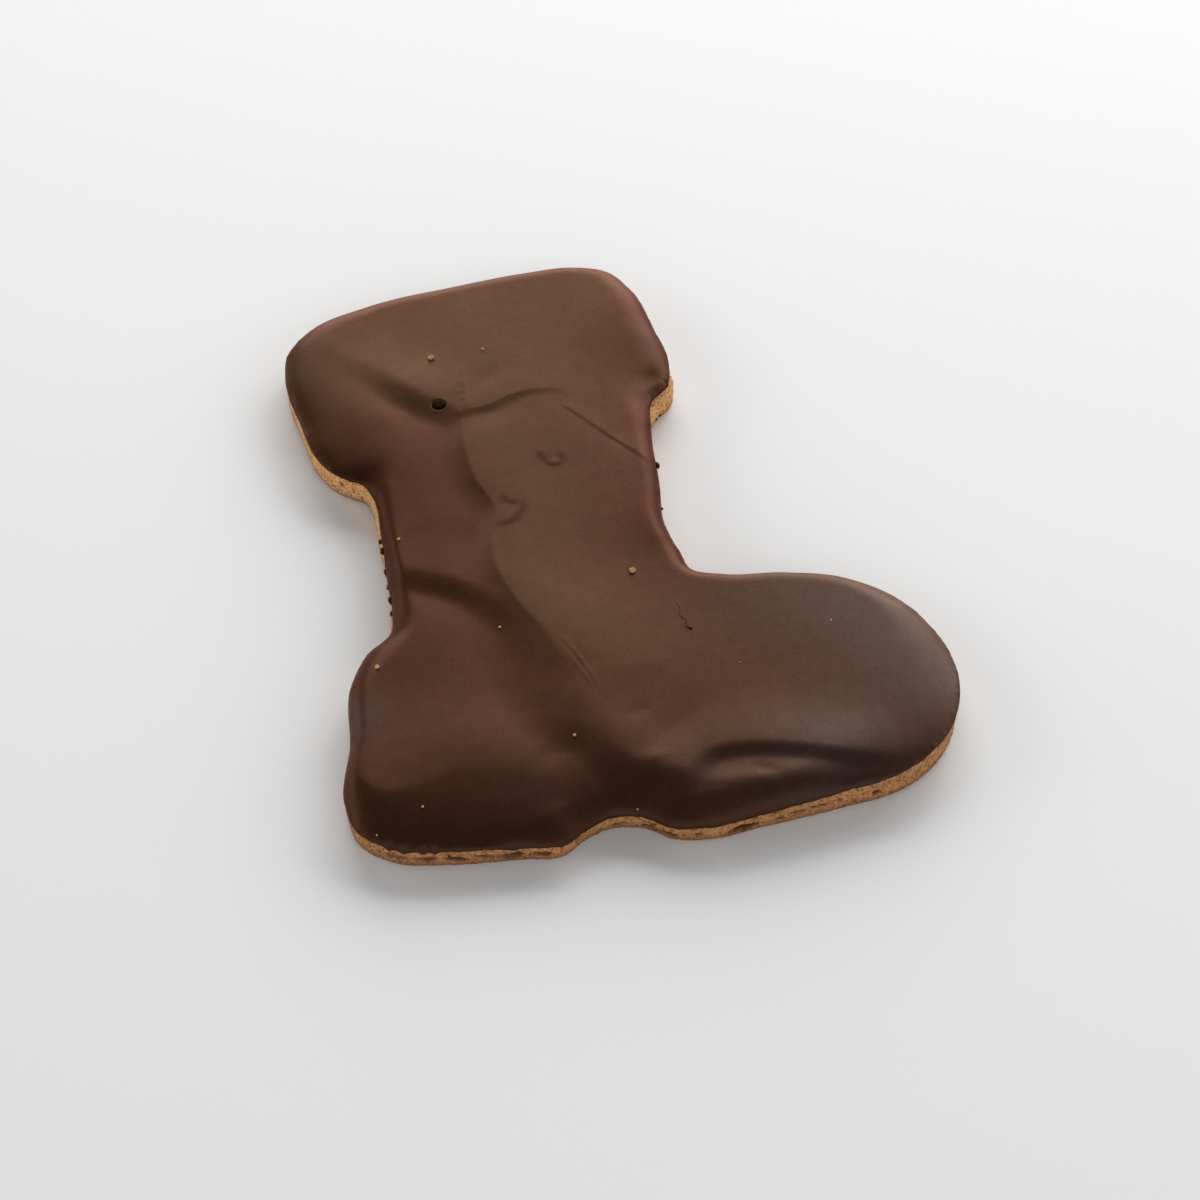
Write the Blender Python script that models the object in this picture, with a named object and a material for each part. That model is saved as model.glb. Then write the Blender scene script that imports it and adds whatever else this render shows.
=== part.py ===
"""Gingerbread boot cookie: a rounded gingerbread biscuit under a poured coat of dark chocolate.

The cookie lies on its flat underside at z = 0. +X runs from the heel to the toe, +Y from the sole up the
shaft to the cuff, and +Z out of the coated face. Dimensions are in millimetres until the meshes are made.
"""
import math

import bpy
import numpy as np
from mathutils.geometry import delaunay_2d_cdt

MM = 0.001

# ---------------------------------------------------------------- driving dimensions

BISCUIT_HEIGHT = 4.6        # biscuit, from the table to the middle of its top
COOKIE_HEIGHT = 6.1         # whole cookie at its middle, before the relief
GAP = 0.3                   # kept between the biscuit and the chocolate
COAT_CLEARANCE = 0.4        # the same gap measured straight up, where the biscuit's top slopes
COAT_OVERHANG = 0.15        # how far the chocolate stands out past the cutter's line
WALL_INSET = 0.15           # the bare wall, inside the cutter's line
LEDGE_INSET = 0.5           # the wall under the chocolate, inside the cutter's line
LEDGE_DROP = 0.3            # the bare wall ends this far below the chocolate
FOOT_INSET = 1.0            # the flat underside, inside the cutter's line
FOOT_ROUND = 0.8            # height of the wall's rounded foot
FOOT_STEPS = 2              # rings that round the foot
EDGE_POWER = 0.6            # shape of the rounded edges: 0.5 makes a quarter ellipse, and 1 a parabola
FILL_INSET = 2.4            # the rings end here, and a triangulated fill takes over
BISCUIT_RINGS = (0.5, 0.65, 1.3, FILL_INSET)          # insets of the rings on the biscuit's top
UNDER_RINGS = (FILL_INSET, 1.3)                       # and of those under the chocolate
COAT_RINGS = (-COAT_OVERHANG, 0.05, 0.6, 1.4, FILL_INSET)     # and of those on the chocolate
UNDER_SHIFT = 0.1           # the chocolate's underside lies this far out from the biscuit's rings
LIP_EDGE = 0.2              # height of the blunt edge where the chocolate ends
LIP_TILT = 0.1              # the lip's underside rises this far above its mean height, and falls as far below
RELIEF_FADE = 1.6           # the relief grows to its full depth over this distance from the edge

RING_STEPS = 3              # outline points from one knot to the next
FINE_STEPS = 12             # the same where distances are measured
TOP_GRID = 2.1              # spacing of the top's points on plain stretches: half of it along the flow marks
HIDDEN_GRID = 3.4           # spacing where the chocolate covers the surface
FILL_MARGIN = 0.45          # share of the spacing left free between the rings and the fill's points
FLOW_BAND = 2.6             # half width of the fine strip along a flow mark
DISTANCE_POWER = 8          # sharpness of the smooth distance to the edge
BANK_DIP = 0.45             # share of a bank's height that lies below the level round it

WALL_WAVES = ((17, 0.05), (41, 0.05), (67, 0.04))     # waves round the edge, and their height
LIP_WAVES = ((23, 0.08), (53, 0.07), (90, 0.05))
SWELL_WAVES = ((23.0, 0.05), (15.0, 0.04), (31.0, 0.06))     # wavelength and height on the top
WAVE_SEED = 7

# The cutter's line, anticlockwise from the back corner of the cuff. Each knot is x, y, the height where the
# chocolate ends on the wall, and the width over which the chocolate rolls down to the edge.
CUTTER_KNOTS = (
    (-36.2, 48.5, 3.7, 8.0),
    (-37.6, 42.0, 3.8, 10.0),
    (-36.8, 30.0, 3.9, 12.0),
    (-35.8, 22.6, 4.0, 12.0),
    (-34.0, 18.6, 4.0, 12.0),
    (-31.8, 16.4, 4.0, 9.0),
    (-30.2, 15.2, 3.9, 7.0),
    (-29.1, 12.2, 3.8, 4.0),
    (-29.1, 4.0, 3.5, 2.5),
    (-29.6, -4.0, 2.5, 2.5),
    (-30.0, -11.5, 2.4, 2.8),
    (-31.3, -17.1, 3.2, 4.5),
    (-35.0, -20.6, 3.2, 5.0),
    (-37.8, -25.8, 3.2, 3.6),
    (-39.6, -37.0, 3.2, 2.8),
    (-41.8, -47.0, 3.1, 3.8),
    (-40.9, -52.3, 3.0, 8.0),
    (-37.0, -56.0, 3.1, 12.0),
    (-30.0, -57.8, 3.0, 13.0),
    (-21.0, -58.8, 2.8, 14.0),
    (-15.7, -59.3, 2.6, 13.0),
    (-12.3, -57.1, 2.3, 11.0),
    (-8.6, -55.8, 2.6, 9.0),
    (-4.5, -56.8, 2.6, 8.0),
    (-1.5, -59.3, 2.6, 7.5),
    (2.6, -60.2, 2.7, 6.0),
    (11.0, -59.5, 3.0, 4.5),
    (21.0, -58.4, 3.5, 5.5),
    (30.0, -56.7, 4.0, 8.5),
    (36.1, -52.5, 4.1, 11.0),
    (40.4, -45.5, 3.9, 11.0),
    (42.0, -38.0, 3.4, 9.0),
    (41.1, -30.7, 3.3, 7.0),
    (37.7, -23.8, 3.3, 5.0),
    (31.4, -18.8, 3.4, 3.5),
    (24.0, -16.6, 3.6, 3.0),
    (15.7, -15.3, 3.8, 3.0),
    (11.8, -13.4, 3.8, 3.0),
    (10.9, -9.0, 3.8, 3.0),
    (10.2, -2.0, 3.8, 3.0),
    (11.4, 6.0, 3.8, 3.0),
    (13.1, 19.0, 3.9, 3.5),
    (14.8, 25.5, 3.9, 5.0),
    (17.6, 28.4, 3.9, 7.0),
    (19.1, 33.5, 3.8, 6.0),
    (18.9, 43.1, 3.6, 5.0),
    (17.8, 52.7, 3.5, 4.5),
    (15.1, 58.2, 3.5, 4.0),
    (9.5, 60.4, 3.5, 3.5),
    (2.0, 60.3, 3.5, 3.5),
    (-10.0, 59.1, 3.5, 3.5),
    (-23.5, 56.8, 3.5, 4.0),
    (-31.8, 53.5, 3.5, 5.0),
)

# Flow marks in the chocolate. A ridge stands up along its line, or sinks where its height is negative: its
# half width comes first. A bank is a step with its high side on the left of its line: its crispness, from 0
# to 1, comes first, then its width and how far it spreads. Knots are x, y and height.
RIDGES = (
    # low run down the heel half of the shaft
    (3.2, ((-25.0, 30.0, 0.0), (-23.5, 24.0, 0.08), (-23.0, 12.0, 0.1), (-22.6, 0.0, 0.08),
           (-20.4, -7.0, 0.0))),
    # crease across the drip under the toe
    (0.9, ((9.6, -53.2, 0.0), (11.8, -54.6, -0.12), (14.4, -56.2, 0.0))),
)
BANKS = (
    # front of the cuff, from its heel end to the blister
    (0.0, 5.4, 6.5, ((-28.4, 46.0, 0.0), (-25.5, 41.9, 0.3), (-22.9, 38.2, 0.6), (-20.6, 34.8, 0.9),
                     (-18.3, 31.6, 1.0), (-16.0, 29.2, 0.75), (-13.8, 27.6, 0.4),
                     (-11.6, 26.6, 0.15), (-9.6, 26.0, 0.0))),
    # front of the cuff's lobe
    (0.7, 1.7, 5.0, ((-15.6, 25.6, 0.0), (-12.0, 26.2, 0.18), (-9.4, 26.9, 0.22), (-6.8, 28.2, 0.22),
                     (-3.4, 29.2, 0.16), (0.6, 28.9, 0.06), (3.4, 27.4, 0.0))),
    # edge of the second pour, from the cuff down into the foot
    (1.0, 4.2, 8.5, ((-13.6, 26.0, 0.2), (-14.3, 21.6, 0.55), (-14.7, 15.3, 0.65), (-14.4, 9.9, 0.65),
                     (-13.4, 6.2, 0.55), (-12.9, 3.4, 0.5), (-13.5, 0.4, 0.5), (-14.7, -4.1, 0.6),
                     (-15.1, -8.3, 0.6), (-14.5, -13.2, 0.5), (-13.3, -18.1, 0.4), (-11.6, -22.5, 0.3),
                     (-10.3, -27.5, 0.2), (-9.0, -31.2, 0.12), (-7.6, -36.0, 0.0))),
    # flow front from the heel side of the shaft, down into the heel
    (0.0, 5.0, 7.0, ((-32.6, -4.6, 0.5), (-29.9, -5.4, 0.6), (-27.8, -6.2, 0.65), (-23.7, -8.0, 0.8),
                     (-19.7, -10.6, 0.85), (-17.4, -13.0, 0.8), (-15.4, -16.4, 0.7), (-13.8, -20.4, 0.5),
                     (-12.8, -25.7, 0.3), (-12.3, -31.0, 0.0))),
    # heel side of the foot, thicker than the heel
    (0.0, 11.0, 12.0, ((-13.6, -4.0, 0.0), (-13.2, -9.0, 0.04), (-12.2, -14.0, 0.22), (-10.8, -19.7, 0.7),
                       (-9.8, -25.1, 1.15), (-9.1, -31.0, 1.5), (-8.2, -35.9, 1.5), (-6.6, -39.9, 1.1),
                       (-3.9, -44.7, 0.5), (-2.0, -47.6, 0.0))),
    # front of the foot over the notch, round to the island's end
    (0.0, 6.0, 6.0, ((-13.4, -37.6, 0.0), (-9.6, -41.4, 0.5), (-6.2, -45.9, 0.9), (-4.3, -49.0, 0.95),
                     (-1.8, -51.2, 0.8), (1.1, -52.2, 0.5), (3.6, -52.4, 0.2), (6.4, -52.0, 0.0))),
    # front of the foot round the island under the toe
    (0.0, 2.6, 6.0, ((-0.2, -58.4, 0.0), (0.4, -54.9, 0.4), (2.2, -52.1, 0.55), (4.9, -49.9, 0.65),
                     (9.2, -49.3, 0.65), (12.9, -49.9, 0.65), (17.2, -51.2, 0.65), (21.2, -52.6, 0.6),
                     (25.6, -54.0, 0.5), (30.0, -54.6, 0.25), (34.0, -53.0, 0.0))),
    # low arch over the notch
    (0.0, 3.0, 6.0, ((-21.0, -51.0, 0.0), (-20.0, -47.7, 0.06), (-18.1, -45.3, 0.1), (-15.9, -44.0, 0.1),
                     (-12.0, -43.4, 0.06), (-9.0, -45.0, 0.0))),
    # hollow at the root of the shaft
    (0.0, 4.0, 6.0, ((2.6, -10.0, 0.0), (6.0, -7.2, 0.15), (9.5, -4.8, 0.3), (12.5, -3.0, 0.2))),
)
# Mounds and hollows: x, y, half length, half width, turn in degrees, height.
MOUNDS = (
    (-27.0, 31.0, 9.0, 8.0, 0.0, 0.3),
    (6.6, -56.0, 3.0, 2.1, 40.0, 0.16),
    (14.5, -56.4, 6.4, 2.0, -6.0, 0.14),
    (5.6, -57.6, 1.8, 0.9, -10.0, 0.12),
    (-25.5, -42.5, 10.0, 7.5, 0.0, 0.35),
    (-1.3, -50.0, 1.4, 0.9, 0.0, 0.12),
    (-17.0, -56.2, 5.0, 1.5, 18.0, 0.25),
    (1.4, -57.2, 1.8, 1.0, 0.0, 0.15),
    (15.4, 29.2, 2.6, 1.8, 35.0, -0.3),
    (-2.9, 13.2, 1.7, 1.0, 0.0, -0.09),
    (-10.2, 3.6, 2.5, 1.5, 80.0, -0.14),
    (-8.2, 33.6, 2.6, 1.2, 50.0, -0.08),
    (-0.7, -50.3, 0.9, 0.7, 0.0, -0.08),
    (-2.0, -41.2, 1.6, 1.1, 30.0, -0.08),
)
# The burst bubble: x, y, radius and depth.
BLISTER = (-16.7, 28.3, 1.2, 0.7)
# Where the biscuit stands out past the chocolate: x, y, half length and width.
BARE_EDGES = (
    (-29.4, 6.5, 6.5, 0.6),
    (-30.3, -13.0, 2.6, 0.5),
    (16.6, 27.4, 5.5, 0.95),
)
# Cavities in the bare wall: x, y, height of the centre, length, height and depth.
WALL_PITS = (
    (9.5, -59.4, 1.3, 4.6, 1.1, 0.8),
    (21.5, -58.0, 1.9, 6.2, 0.8, 0.7),
    (29.0, -56.7, 1.7, 2.4, 0.7, 0.6),
    (-4.0, -57.0, 1.0, 2.6, 0.7, 0.6),
    (-24.0, -58.7, 1.3, 4.0, 0.7, 0.5),
    (-34.5, -56.8, 1.2, 2.8, 0.6, 0.5),
    (-33.4, 17.2, 2.4, 1.4, 0.8, 0.5),
)

# Linear colour, roughness and metallic value of each material.
FINISHES = {
    "gingerbread": ((0.330, 0.150, 0.065, 1.0), 0.85, 0.0),
    "chocolate_coat": ((0.100, 0.046, 0.028, 1.0), 0.5, 0.0),
}

# ---------------------------------------------------------------- curves and distances


def spline(knots, steps, closed):
    """Points of the smooth curve through the knots: every column of a knot is carried along."""
    knots = np.asarray(knots, float)
    ahead = np.roll(knots, -1, axis=0)
    chord = np.linalg.norm((ahead - knots)[:, :2], axis=1)[:, None]
    slope = (ahead - knots) / chord
    chord_behind = np.roll(chord, 1, axis=0)
    slope_behind = np.roll(slope, 1, axis=0)
    tangent = (chord_behind * slope + chord * slope_behind) / (chord + chord_behind)
    count = len(knots)
    if not closed:
        tangent[0] = slope[0]
        tangent[-1] = slope_behind[-1]
        count -= 1
    share = np.arange(steps)[:, None] / steps
    pieces = []
    for i in range(count):
        pieces.append(
            knots[i] * (2 * share**3 - 3 * share**2 + 1)
            + ahead[i] * (3 * share**2 - 2 * share**3)
            + tangent[i] * chord[i] * (share**3 - 2 * share**2 + share)
            + np.roll(tangent, -1, axis=0)[i] * chord[i] * (share**3 - share**2)
        )
    if not closed:
        pieces.append(knots[-1:])
    return np.vstack(pieces)


def directions(line, closed):
    """Unit tangents of a line of points, in the plane."""
    if closed:
        run = np.roll(line, -1, axis=0) - np.roll(line, 1, axis=0)
    else:
        run = np.gradient(line, axis=0)
    return run[:, :2] / np.linalg.norm(run[:, :2], axis=1)[:, None]


def edge_fields(points, outline):
    """Smooth distance from each point to the outline, and the lip height and roll width there."""
    step = np.linalg.norm(np.roll(outline, -1, axis=0)[:, :2] - outline[:, :2], axis=1)
    reach = np.linalg.norm(points[:, None, :2] - outline[None, :, :2], axis=2)
    weight = step / reach**DISTANCE_POWER
    total = weight.sum(axis=1)
    half = DISTANCE_POWER / 2
    straight = math.sqrt(math.pi) * math.gamma(half - 0.5) / math.gamma(half)
    distance = (total / straight) ** (-1 / (DISTANCE_POWER - 1))
    near = (weight @ outline[:, 2:]) / total[:, None]
    return distance, near[:, 0], near[:, 1]


def inside(points, outline):
    """True for each point that lies within the outline."""
    start = outline[:, :2]
    end = np.roll(start, -1, axis=0)
    x = points[:, 0:1]
    y = points[:, 1:2]
    spans = (start[:, 1] > y) != (end[:, 1] > y)
    rise = end[:, 1] - start[:, 1]
    rise = np.where(rise == 0, 1.0, rise)
    crossing = start[:, 0] + (y - start[:, 1]) * (end[:, 0] - start[:, 0]) / rise
    return (spans & (x < crossing)).sum(axis=1) % 2 == 1


def waves(share, table, seed):
    """Sum of sines round a closed loop, with seeded phases."""
    phase = np.random.RandomState(seed).uniform(0, 2 * math.pi, len(table))
    return sum(
        height * np.sin(2 * math.pi * count * share + start)
        for (count, height), start in zip(table, phase)
    )


# ---------------------------------------------------------------- relief of the chocolate


def along(points, line):
    """Signed distance of each point from an open line, positive on its left, and the line's height there."""
    tangent = directions(line, closed=False)
    apart = points[:, None, :2] - line[None, :, :2]
    reach = np.linalg.norm(apart, axis=2)
    nearest = reach.argmin(axis=1)
    rows = np.arange(len(points))
    side = tangent[nearest, 0] * apart[rows, nearest, 1] - tangent[nearest, 1] * apart[rows, nearest, 0]
    return np.sign(side) * reach[rows, nearest], line[nearest, 2]


def ridge(points, width, knots):
    offset, height = along(points, spline(knots, FINE_STEPS, closed=False))
    return height * np.exp(-((offset / width) ** 2))


def bank(points, crispness, width, spread, knots):
    offset, height = along(points, spline(knots, FINE_STEPS, closed=False))
    share = np.clip(1 + offset / width, 0, 1)
    climb = share**2 * (1 + 2 * (1 - crispness) * (1 - share))
    dip = BANK_DIP * np.exp(-((offset / spread) ** 2))
    return height * (np.where(offset < 0, climb, np.exp(-((offset / spread) ** 2))) - dip)


def mound(points, x, y, half_length, half_width, turn, height):
    angle = math.radians(turn)
    lengthwise = (points[:, 0] - x) * math.cos(angle) + (points[:, 1] - y) * math.sin(angle)
    crosswise = (points[:, 1] - y) * math.cos(angle) - (points[:, 0] - x) * math.sin(angle)
    return height * np.exp(-((lengthwise / half_length) ** 2) - (crosswise / half_width) ** 2)


def swell(points):
    """Slow unevenness of the poured surface."""
    random = np.random.RandomState(WAVE_SEED)
    height = np.zeros(len(points))
    for length, size in SWELL_WAVES:
        heading, start = random.uniform(0, 2 * math.pi, 2)
        run = points[:, 0] * math.cos(heading) + points[:, 1] * math.sin(heading)
        height += size * np.sin(2 * math.pi * run / length + start)
    return height


def relief(points):
    height = swell(points)
    for width, knots in RIDGES:
        height += ridge(points, width, knots)
    for mark in BANKS:
        height += bank(points, *mark)
    for shape in MOUNDS:
        height += mound(points, *shape)
    return height


# ---------------------------------------------------------------- heights and rings


def rolled(distance, low, high, width):
    """Height of a rounded edge that rises steeply from the rim and is level from its width inwards."""
    share = np.clip(distance / width, 0, 1)
    return low + (high - low) * (1 - (1 - share) ** 2) ** EDGE_POWER


def biscuit_top(distance, lip, roll):
    return rolled(distance - LEDGE_INSET, lip - LEDGE_DROP, BISCUIT_HEIGHT, roll)


def coat_top(points, distance, lip, roll):
    depth = distance + COAT_OVERHANG
    fade = np.clip(depth / RELIEF_FADE, 0, 1)
    return rolled(depth, lip, COOKIE_HEIGHT, roll) + fade * relief(points)


def ring(outline, inset, height):
    """The outline moved inwards by the inset, at the height."""
    tangent = directions(outline, closed=True)
    inward = np.column_stack([-tangent[:, 1], tangent[:, 0]])
    flat = outline[:, :2] + inward * np.reshape(inset, (-1, 1))
    return np.column_stack([flat, np.broadcast_to(height, len(flat))])


def grid_points(outline, fine_outline, step, fine_lines):
    """A triangular grid within the fill's edge, with twice as many points along the fine lines."""
    spacing = step / 2 if fine_lines else step
    low = outline[:, :2].min(axis=0)
    high = outline[:, :2].max(axis=0)
    rows = np.arange(int((high[1] - low[1]) / (spacing * math.sqrt(0.75))) + 1)
    columns = np.arange(int((high[0] - low[0]) / spacing) + 1)
    row, column = (part.ravel() for part in np.meshgrid(rows, columns, indexing="ij"))
    points = np.column_stack(
        [low[0] + spacing * (column + 0.5 * (row % 2)), low[1] + spacing * math.sqrt(0.75) * row]
    )
    keep = inside(points, fine_outline)
    if fine_lines:
        shift = (row % 4) // 2
        coarse = (row % 2 == 0) & ((column + shift) % 2 == 0)
        near = np.zeros(len(points), bool)
        for line in fine_lines:
            near |= np.abs(along(points, line)[0]) < FLOW_BAND
        keep &= coarse | near
    points = points[keep]
    distance, lip, roll = edge_fields(points, fine_outline)
    kept = distance > FILL_INSET + FILL_MARGIN * spacing
    return points[kept], distance[kept], lip[kept], roll[kept]


# ---------------------------------------------------------------- meshes


def fill(border, inner):
    """Triangles that cover a closed border, with the inner points as corners too."""
    flat = [tuple(point[:2]) for point in np.vstack([border, inner])]
    count = len(border)
    edges = [(i, (i + 1) % count) for i in range(count)]
    result = delaunay_2d_cdt(flat, edges, [], 1, 1e-5)
    source = [given[0] for given in result[3]]
    return [[source[corner] for corner in face] for face in result[2]]


def solid(name, rings, low_points, high_points):
    """A closed mesh: a stack of rings, with a fill across the first and across the last."""
    size = len(rings[0])
    points = np.vstack([*rings, low_points, high_points]) * MM
    faces = []
    for level in range(len(rings) - 1):
        for i in range(size):
            j = (i + 1) % size
            base = level * size
            faces.append((base + i, base + j, base + size + j, base + size + i))
    last = (len(rings) - 1) * size
    low_start = len(rings) * size
    high_start = low_start + len(low_points)
    for face in fill(rings[0], low_points):
        corners = [c if c < size else low_start + c - size for c in face]
        faces.append(tuple(reversed(corners)))
    for face in fill(rings[-1], high_points):
        faces.append(tuple(last + c if c < size else high_start + c - size for c in face))
    mesh = bpy.data.meshes.new(name)
    mesh.from_pydata(points.tolist(), [], faces)
    mesh.validate()
    mesh.shade_smooth()
    return bpy.data.objects.new(name, mesh)


def add_cutter(collection, name, centre, turn, radii):
    """An ellipsoid that cuts a hollow: hidden, and drawn as wire."""
    bpy.ops.mesh.primitive_ico_sphere_add(subdivisions=2, radius=1.0, location=(0, 0, 0))
    cutter = bpy.context.object
    cutter.name = name
    cutter.location = [value * MM for value in centre]
    cutter.rotation_euler = (0, 0, turn)
    cutter.scale = [value * MM for value in radii]
    cutter.hide_render = True
    cutter.display_type = "WIRE"
    for home in list(cutter.users_collection):
        home.objects.unlink(cutter)
    collection.objects.link(cutter)
    return cutter


def cut(target, collection):
    """Takes every cutter of a collection out of the target."""
    boolean = target.modifiers.new("cavities", "BOOLEAN")
    boolean.operation = "DIFFERENCE"
    boolean.operand_type = "COLLECTION"
    boolean.collection = collection
    boolean.solver = "EXACT"


def finish(target):
    colour, roughness, metallic = FINISHES[target.name]
    material = bpy.data.materials.new(target.name)
    material.use_nodes = True
    shader = material.node_tree.nodes["Principled BSDF"]
    shader.inputs["Base Color"].default_value = colour
    shader.inputs["Roughness"].default_value = roughness
    shader.inputs["Metallic"].default_value = metallic
    target.data.materials.append(material)


def new_collection(name):
    collection = bpy.data.collections.new(name)
    bpy.context.scene.collection.children.link(collection)
    return collection


# ---------------------------------------------------------------- the two pieces


def bare_edge(outline):
    """How far the biscuit's wall stands out past its usual line, all round the outline."""
    out = np.zeros(len(outline))
    for x, y, half_length, width in BARE_EDGES:
        far = np.linalg.norm(outline[:, :2] - (x, y), axis=1)
        out += width * np.exp(-((far / half_length) ** 4))
    return out


def build_biscuit(outline, fine_outline, share):
    """The biscuit: flat underside, rounded foot, bare wall, and a ledge where the chocolate begins."""
    lip = outline[:, 2]
    roll = outline[:, 3]
    out = bare_edge(outline)
    rough = waves(share, WALL_WAVES, WAVE_SEED)
    rings = []
    for turn in np.linspace(0, math.pi / 2, FOOT_STEPS + 1):
        inset = FOOT_INSET - (FOOT_INSET - WALL_INSET) * math.sin(turn)
        height = FOOT_ROUND * (1 - math.cos(turn))
        rings.append(ring(outline, inset + rough * math.sin(turn) - out, height))
    rings.append(ring(outline, WALL_INSET - rough / 2 - out, lip - 2 * LEDGE_DROP))
    for inset in BISCUIT_RINGS:
        rings.append(ring(outline, inset, biscuit_top(inset, lip, roll)))
    points, *fields = grid_points(outline, fine_outline, HIDDEN_GRID, ())
    top = np.column_stack([points, biscuit_top(*fields)])
    return solid("gingerbread", rings, np.empty((0, 3)), top)


def build_coat(outline, fine_outline):
    """The chocolate: it lies on the biscuit's rounded top and ends in a thick lip on its wall."""
    lip = outline[:, 2]
    roll = outline[:, 3]
    inner = LEDGE_INSET - GAP
    rings = []
    for inset in UNDER_RINGS:
        rings.append(ring(outline, inset - UNDER_SHIFT, biscuit_top(inset, lip, roll) + COAT_CLEARANCE))
    rings.append(ring(outline, inner, lip + LIP_TILT))
    rings.append(ring(outline, (inner - COAT_OVERHANG) / 2, lip - LIP_TILT))
    for inset in COAT_RINGS:
        flat = ring(outline, inset, 0.0)
        flat[:, 2] = coat_top(flat, inset, lip + LIP_EDGE, roll)
        rings.append(flat)
    points, *fields = grid_points(outline, fine_outline, HIDDEN_GRID, ())
    under = np.column_stack([points, biscuit_top(*fields) + COAT_CLEARANCE])
    marks = [spline(entry[-1], FINE_STEPS, closed=False) for entry in RIDGES + BANKS]
    points, distance, near_lip, near_roll = grid_points(outline, fine_outline, TOP_GRID, marks)
    top = np.column_stack([points, coat_top(points, distance, near_lip + LIP_EDGE, near_roll)])
    return solid("chocolate_coat", rings, under, top)


def add_pits(outline, centre):
    """Cutters for the cavities in the bare wall, each lying along the wall."""
    collection = new_collection("wall_pit_cutters")
    tangent = directions(outline, closed=True)
    for number, (x, y, z, length, height, depth) in enumerate(WALL_PITS):
        nearest = np.linalg.norm(outline[:, :2] - (x, y), axis=1).argmin()
        turn = math.atan2(tangent[nearest, 1], tangent[nearest, 0])
        place = (outline[nearest, 0] - centre[0], outline[nearest, 1] - centre[1], z)
        add_cutter(collection, f"wall_pit_{number}", place, turn, (length / 2, depth, height / 2))
    return collection


def add_blister(centre):
    """Cutter for the burst bubble in the chocolate."""
    collection = new_collection("blister_cutter")
    x, y, radius, depth = BLISTER
    surface = COOKIE_HEIGHT + relief(np.array([(x, y)]))[0]
    place = (x - centre[0], y - centre[1], surface)
    add_cutter(collection, "blister", place, 0.0, (radius, radius, depth))
    return collection


def clear_scene():
    for item in list(bpy.data.objects):
        bpy.data.objects.remove(item, do_unlink=True)


def main():
    clear_scene()
    parts = new_collection("gingerbread_boot_cookie")
    outline = spline(CUTTER_KNOTS, RING_STEPS, closed=True)
    fine_outline = spline(CUTTER_KNOTS, FINE_STEPS, closed=True)
    step = np.linalg.norm(np.roll(outline, -1, axis=0)[:, :2] - outline[:, :2], axis=1)
    share = (np.cumsum(step) - step) / step.sum()
    outline[:, 2] += waves(share, LIP_WAVES, WAVE_SEED + 1)
    centre = (fine_outline[:, :2].min(axis=0) + fine_outline[:, :2].max(axis=0)) / 2
    biscuit = build_biscuit(outline, fine_outline, share)
    coat = build_coat(outline, fine_outline)
    for piece in (biscuit, coat):
        parts.objects.link(piece)
        piece.location = (-centre[0] * MM, -centre[1] * MM, 0.0)
        finish(piece)
    cut(biscuit, add_pits(outline, centre))
    cut(coat, add_blister(centre))


main()
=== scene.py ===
"""Looks of the gingerbread boot cookie: a fine chocolate coat over a sandy biscuit.

The cookie lies on its flat underside at z = 0. +X runs from the heel to the toe, +Y from the sole up the
shaft to the cuff, and +Z out of the coated face. Dimensions are in millimetres until the meshes are made.
"""
import math

import bmesh
import bpy
import numpy as np
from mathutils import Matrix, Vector, noise
from mathutils.geometry import delaunay_2d_cdt


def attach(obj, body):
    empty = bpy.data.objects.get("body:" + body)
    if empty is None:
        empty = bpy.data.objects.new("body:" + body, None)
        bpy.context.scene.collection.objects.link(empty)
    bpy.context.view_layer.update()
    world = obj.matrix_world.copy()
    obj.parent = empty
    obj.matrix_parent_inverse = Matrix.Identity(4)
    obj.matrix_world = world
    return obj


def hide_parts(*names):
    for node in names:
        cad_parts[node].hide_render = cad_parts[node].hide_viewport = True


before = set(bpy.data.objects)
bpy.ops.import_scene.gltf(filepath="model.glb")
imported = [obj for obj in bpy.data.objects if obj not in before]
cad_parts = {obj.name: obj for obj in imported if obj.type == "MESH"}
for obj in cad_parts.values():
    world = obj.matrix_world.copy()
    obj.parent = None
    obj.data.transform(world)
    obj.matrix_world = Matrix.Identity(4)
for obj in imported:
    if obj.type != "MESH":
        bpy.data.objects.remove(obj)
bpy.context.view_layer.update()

MM = 0.001

# ---------------------------------------------------------------- dimensions, in millimetres

BISCUIT_HEIGHT = 4.6        # biscuit, from the table to the middle of its top
COOKIE_HEIGHT = 6.1         # whole cookie at its middle, before the relief
COAT_CLEARANCE = 0.1        # air between the biscuit's top and the chocolate, so that no faces coincide
COAT_OVERHANG = 0.15        # how far the chocolate stands out past the cutter's line
WALL_INSET = 0.15           # the bare wall, inside the cutter's line
LEDGE_DROP = 0.3            # the bare wall ends this far below the chocolate
FOOT_INSET = 1.0            # the flat underside, inside the cutter's line
FOOT_ROUND = 0.8            # height of the wall's rounded foot
EDGE_POWER = 0.6            # shape of the rounded edges: 0.5 makes a quarter ellipse, and 1 a parabola
FILL_INSET = 2.4            # the rings end here, and a triangulated fill takes over
RELIEF_FADE = 1.6           # the relief grows to its full depth over this distance from the edge
LIP_EDGE = 0.2              # height of the blunt edge where the chocolate ends
LIP_REACH = 0.45            # the lip's unevenness dies away over this distance from the edge
BANK_DIP = 0.45             # share of a bank's height that lies below the level round it

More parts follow.
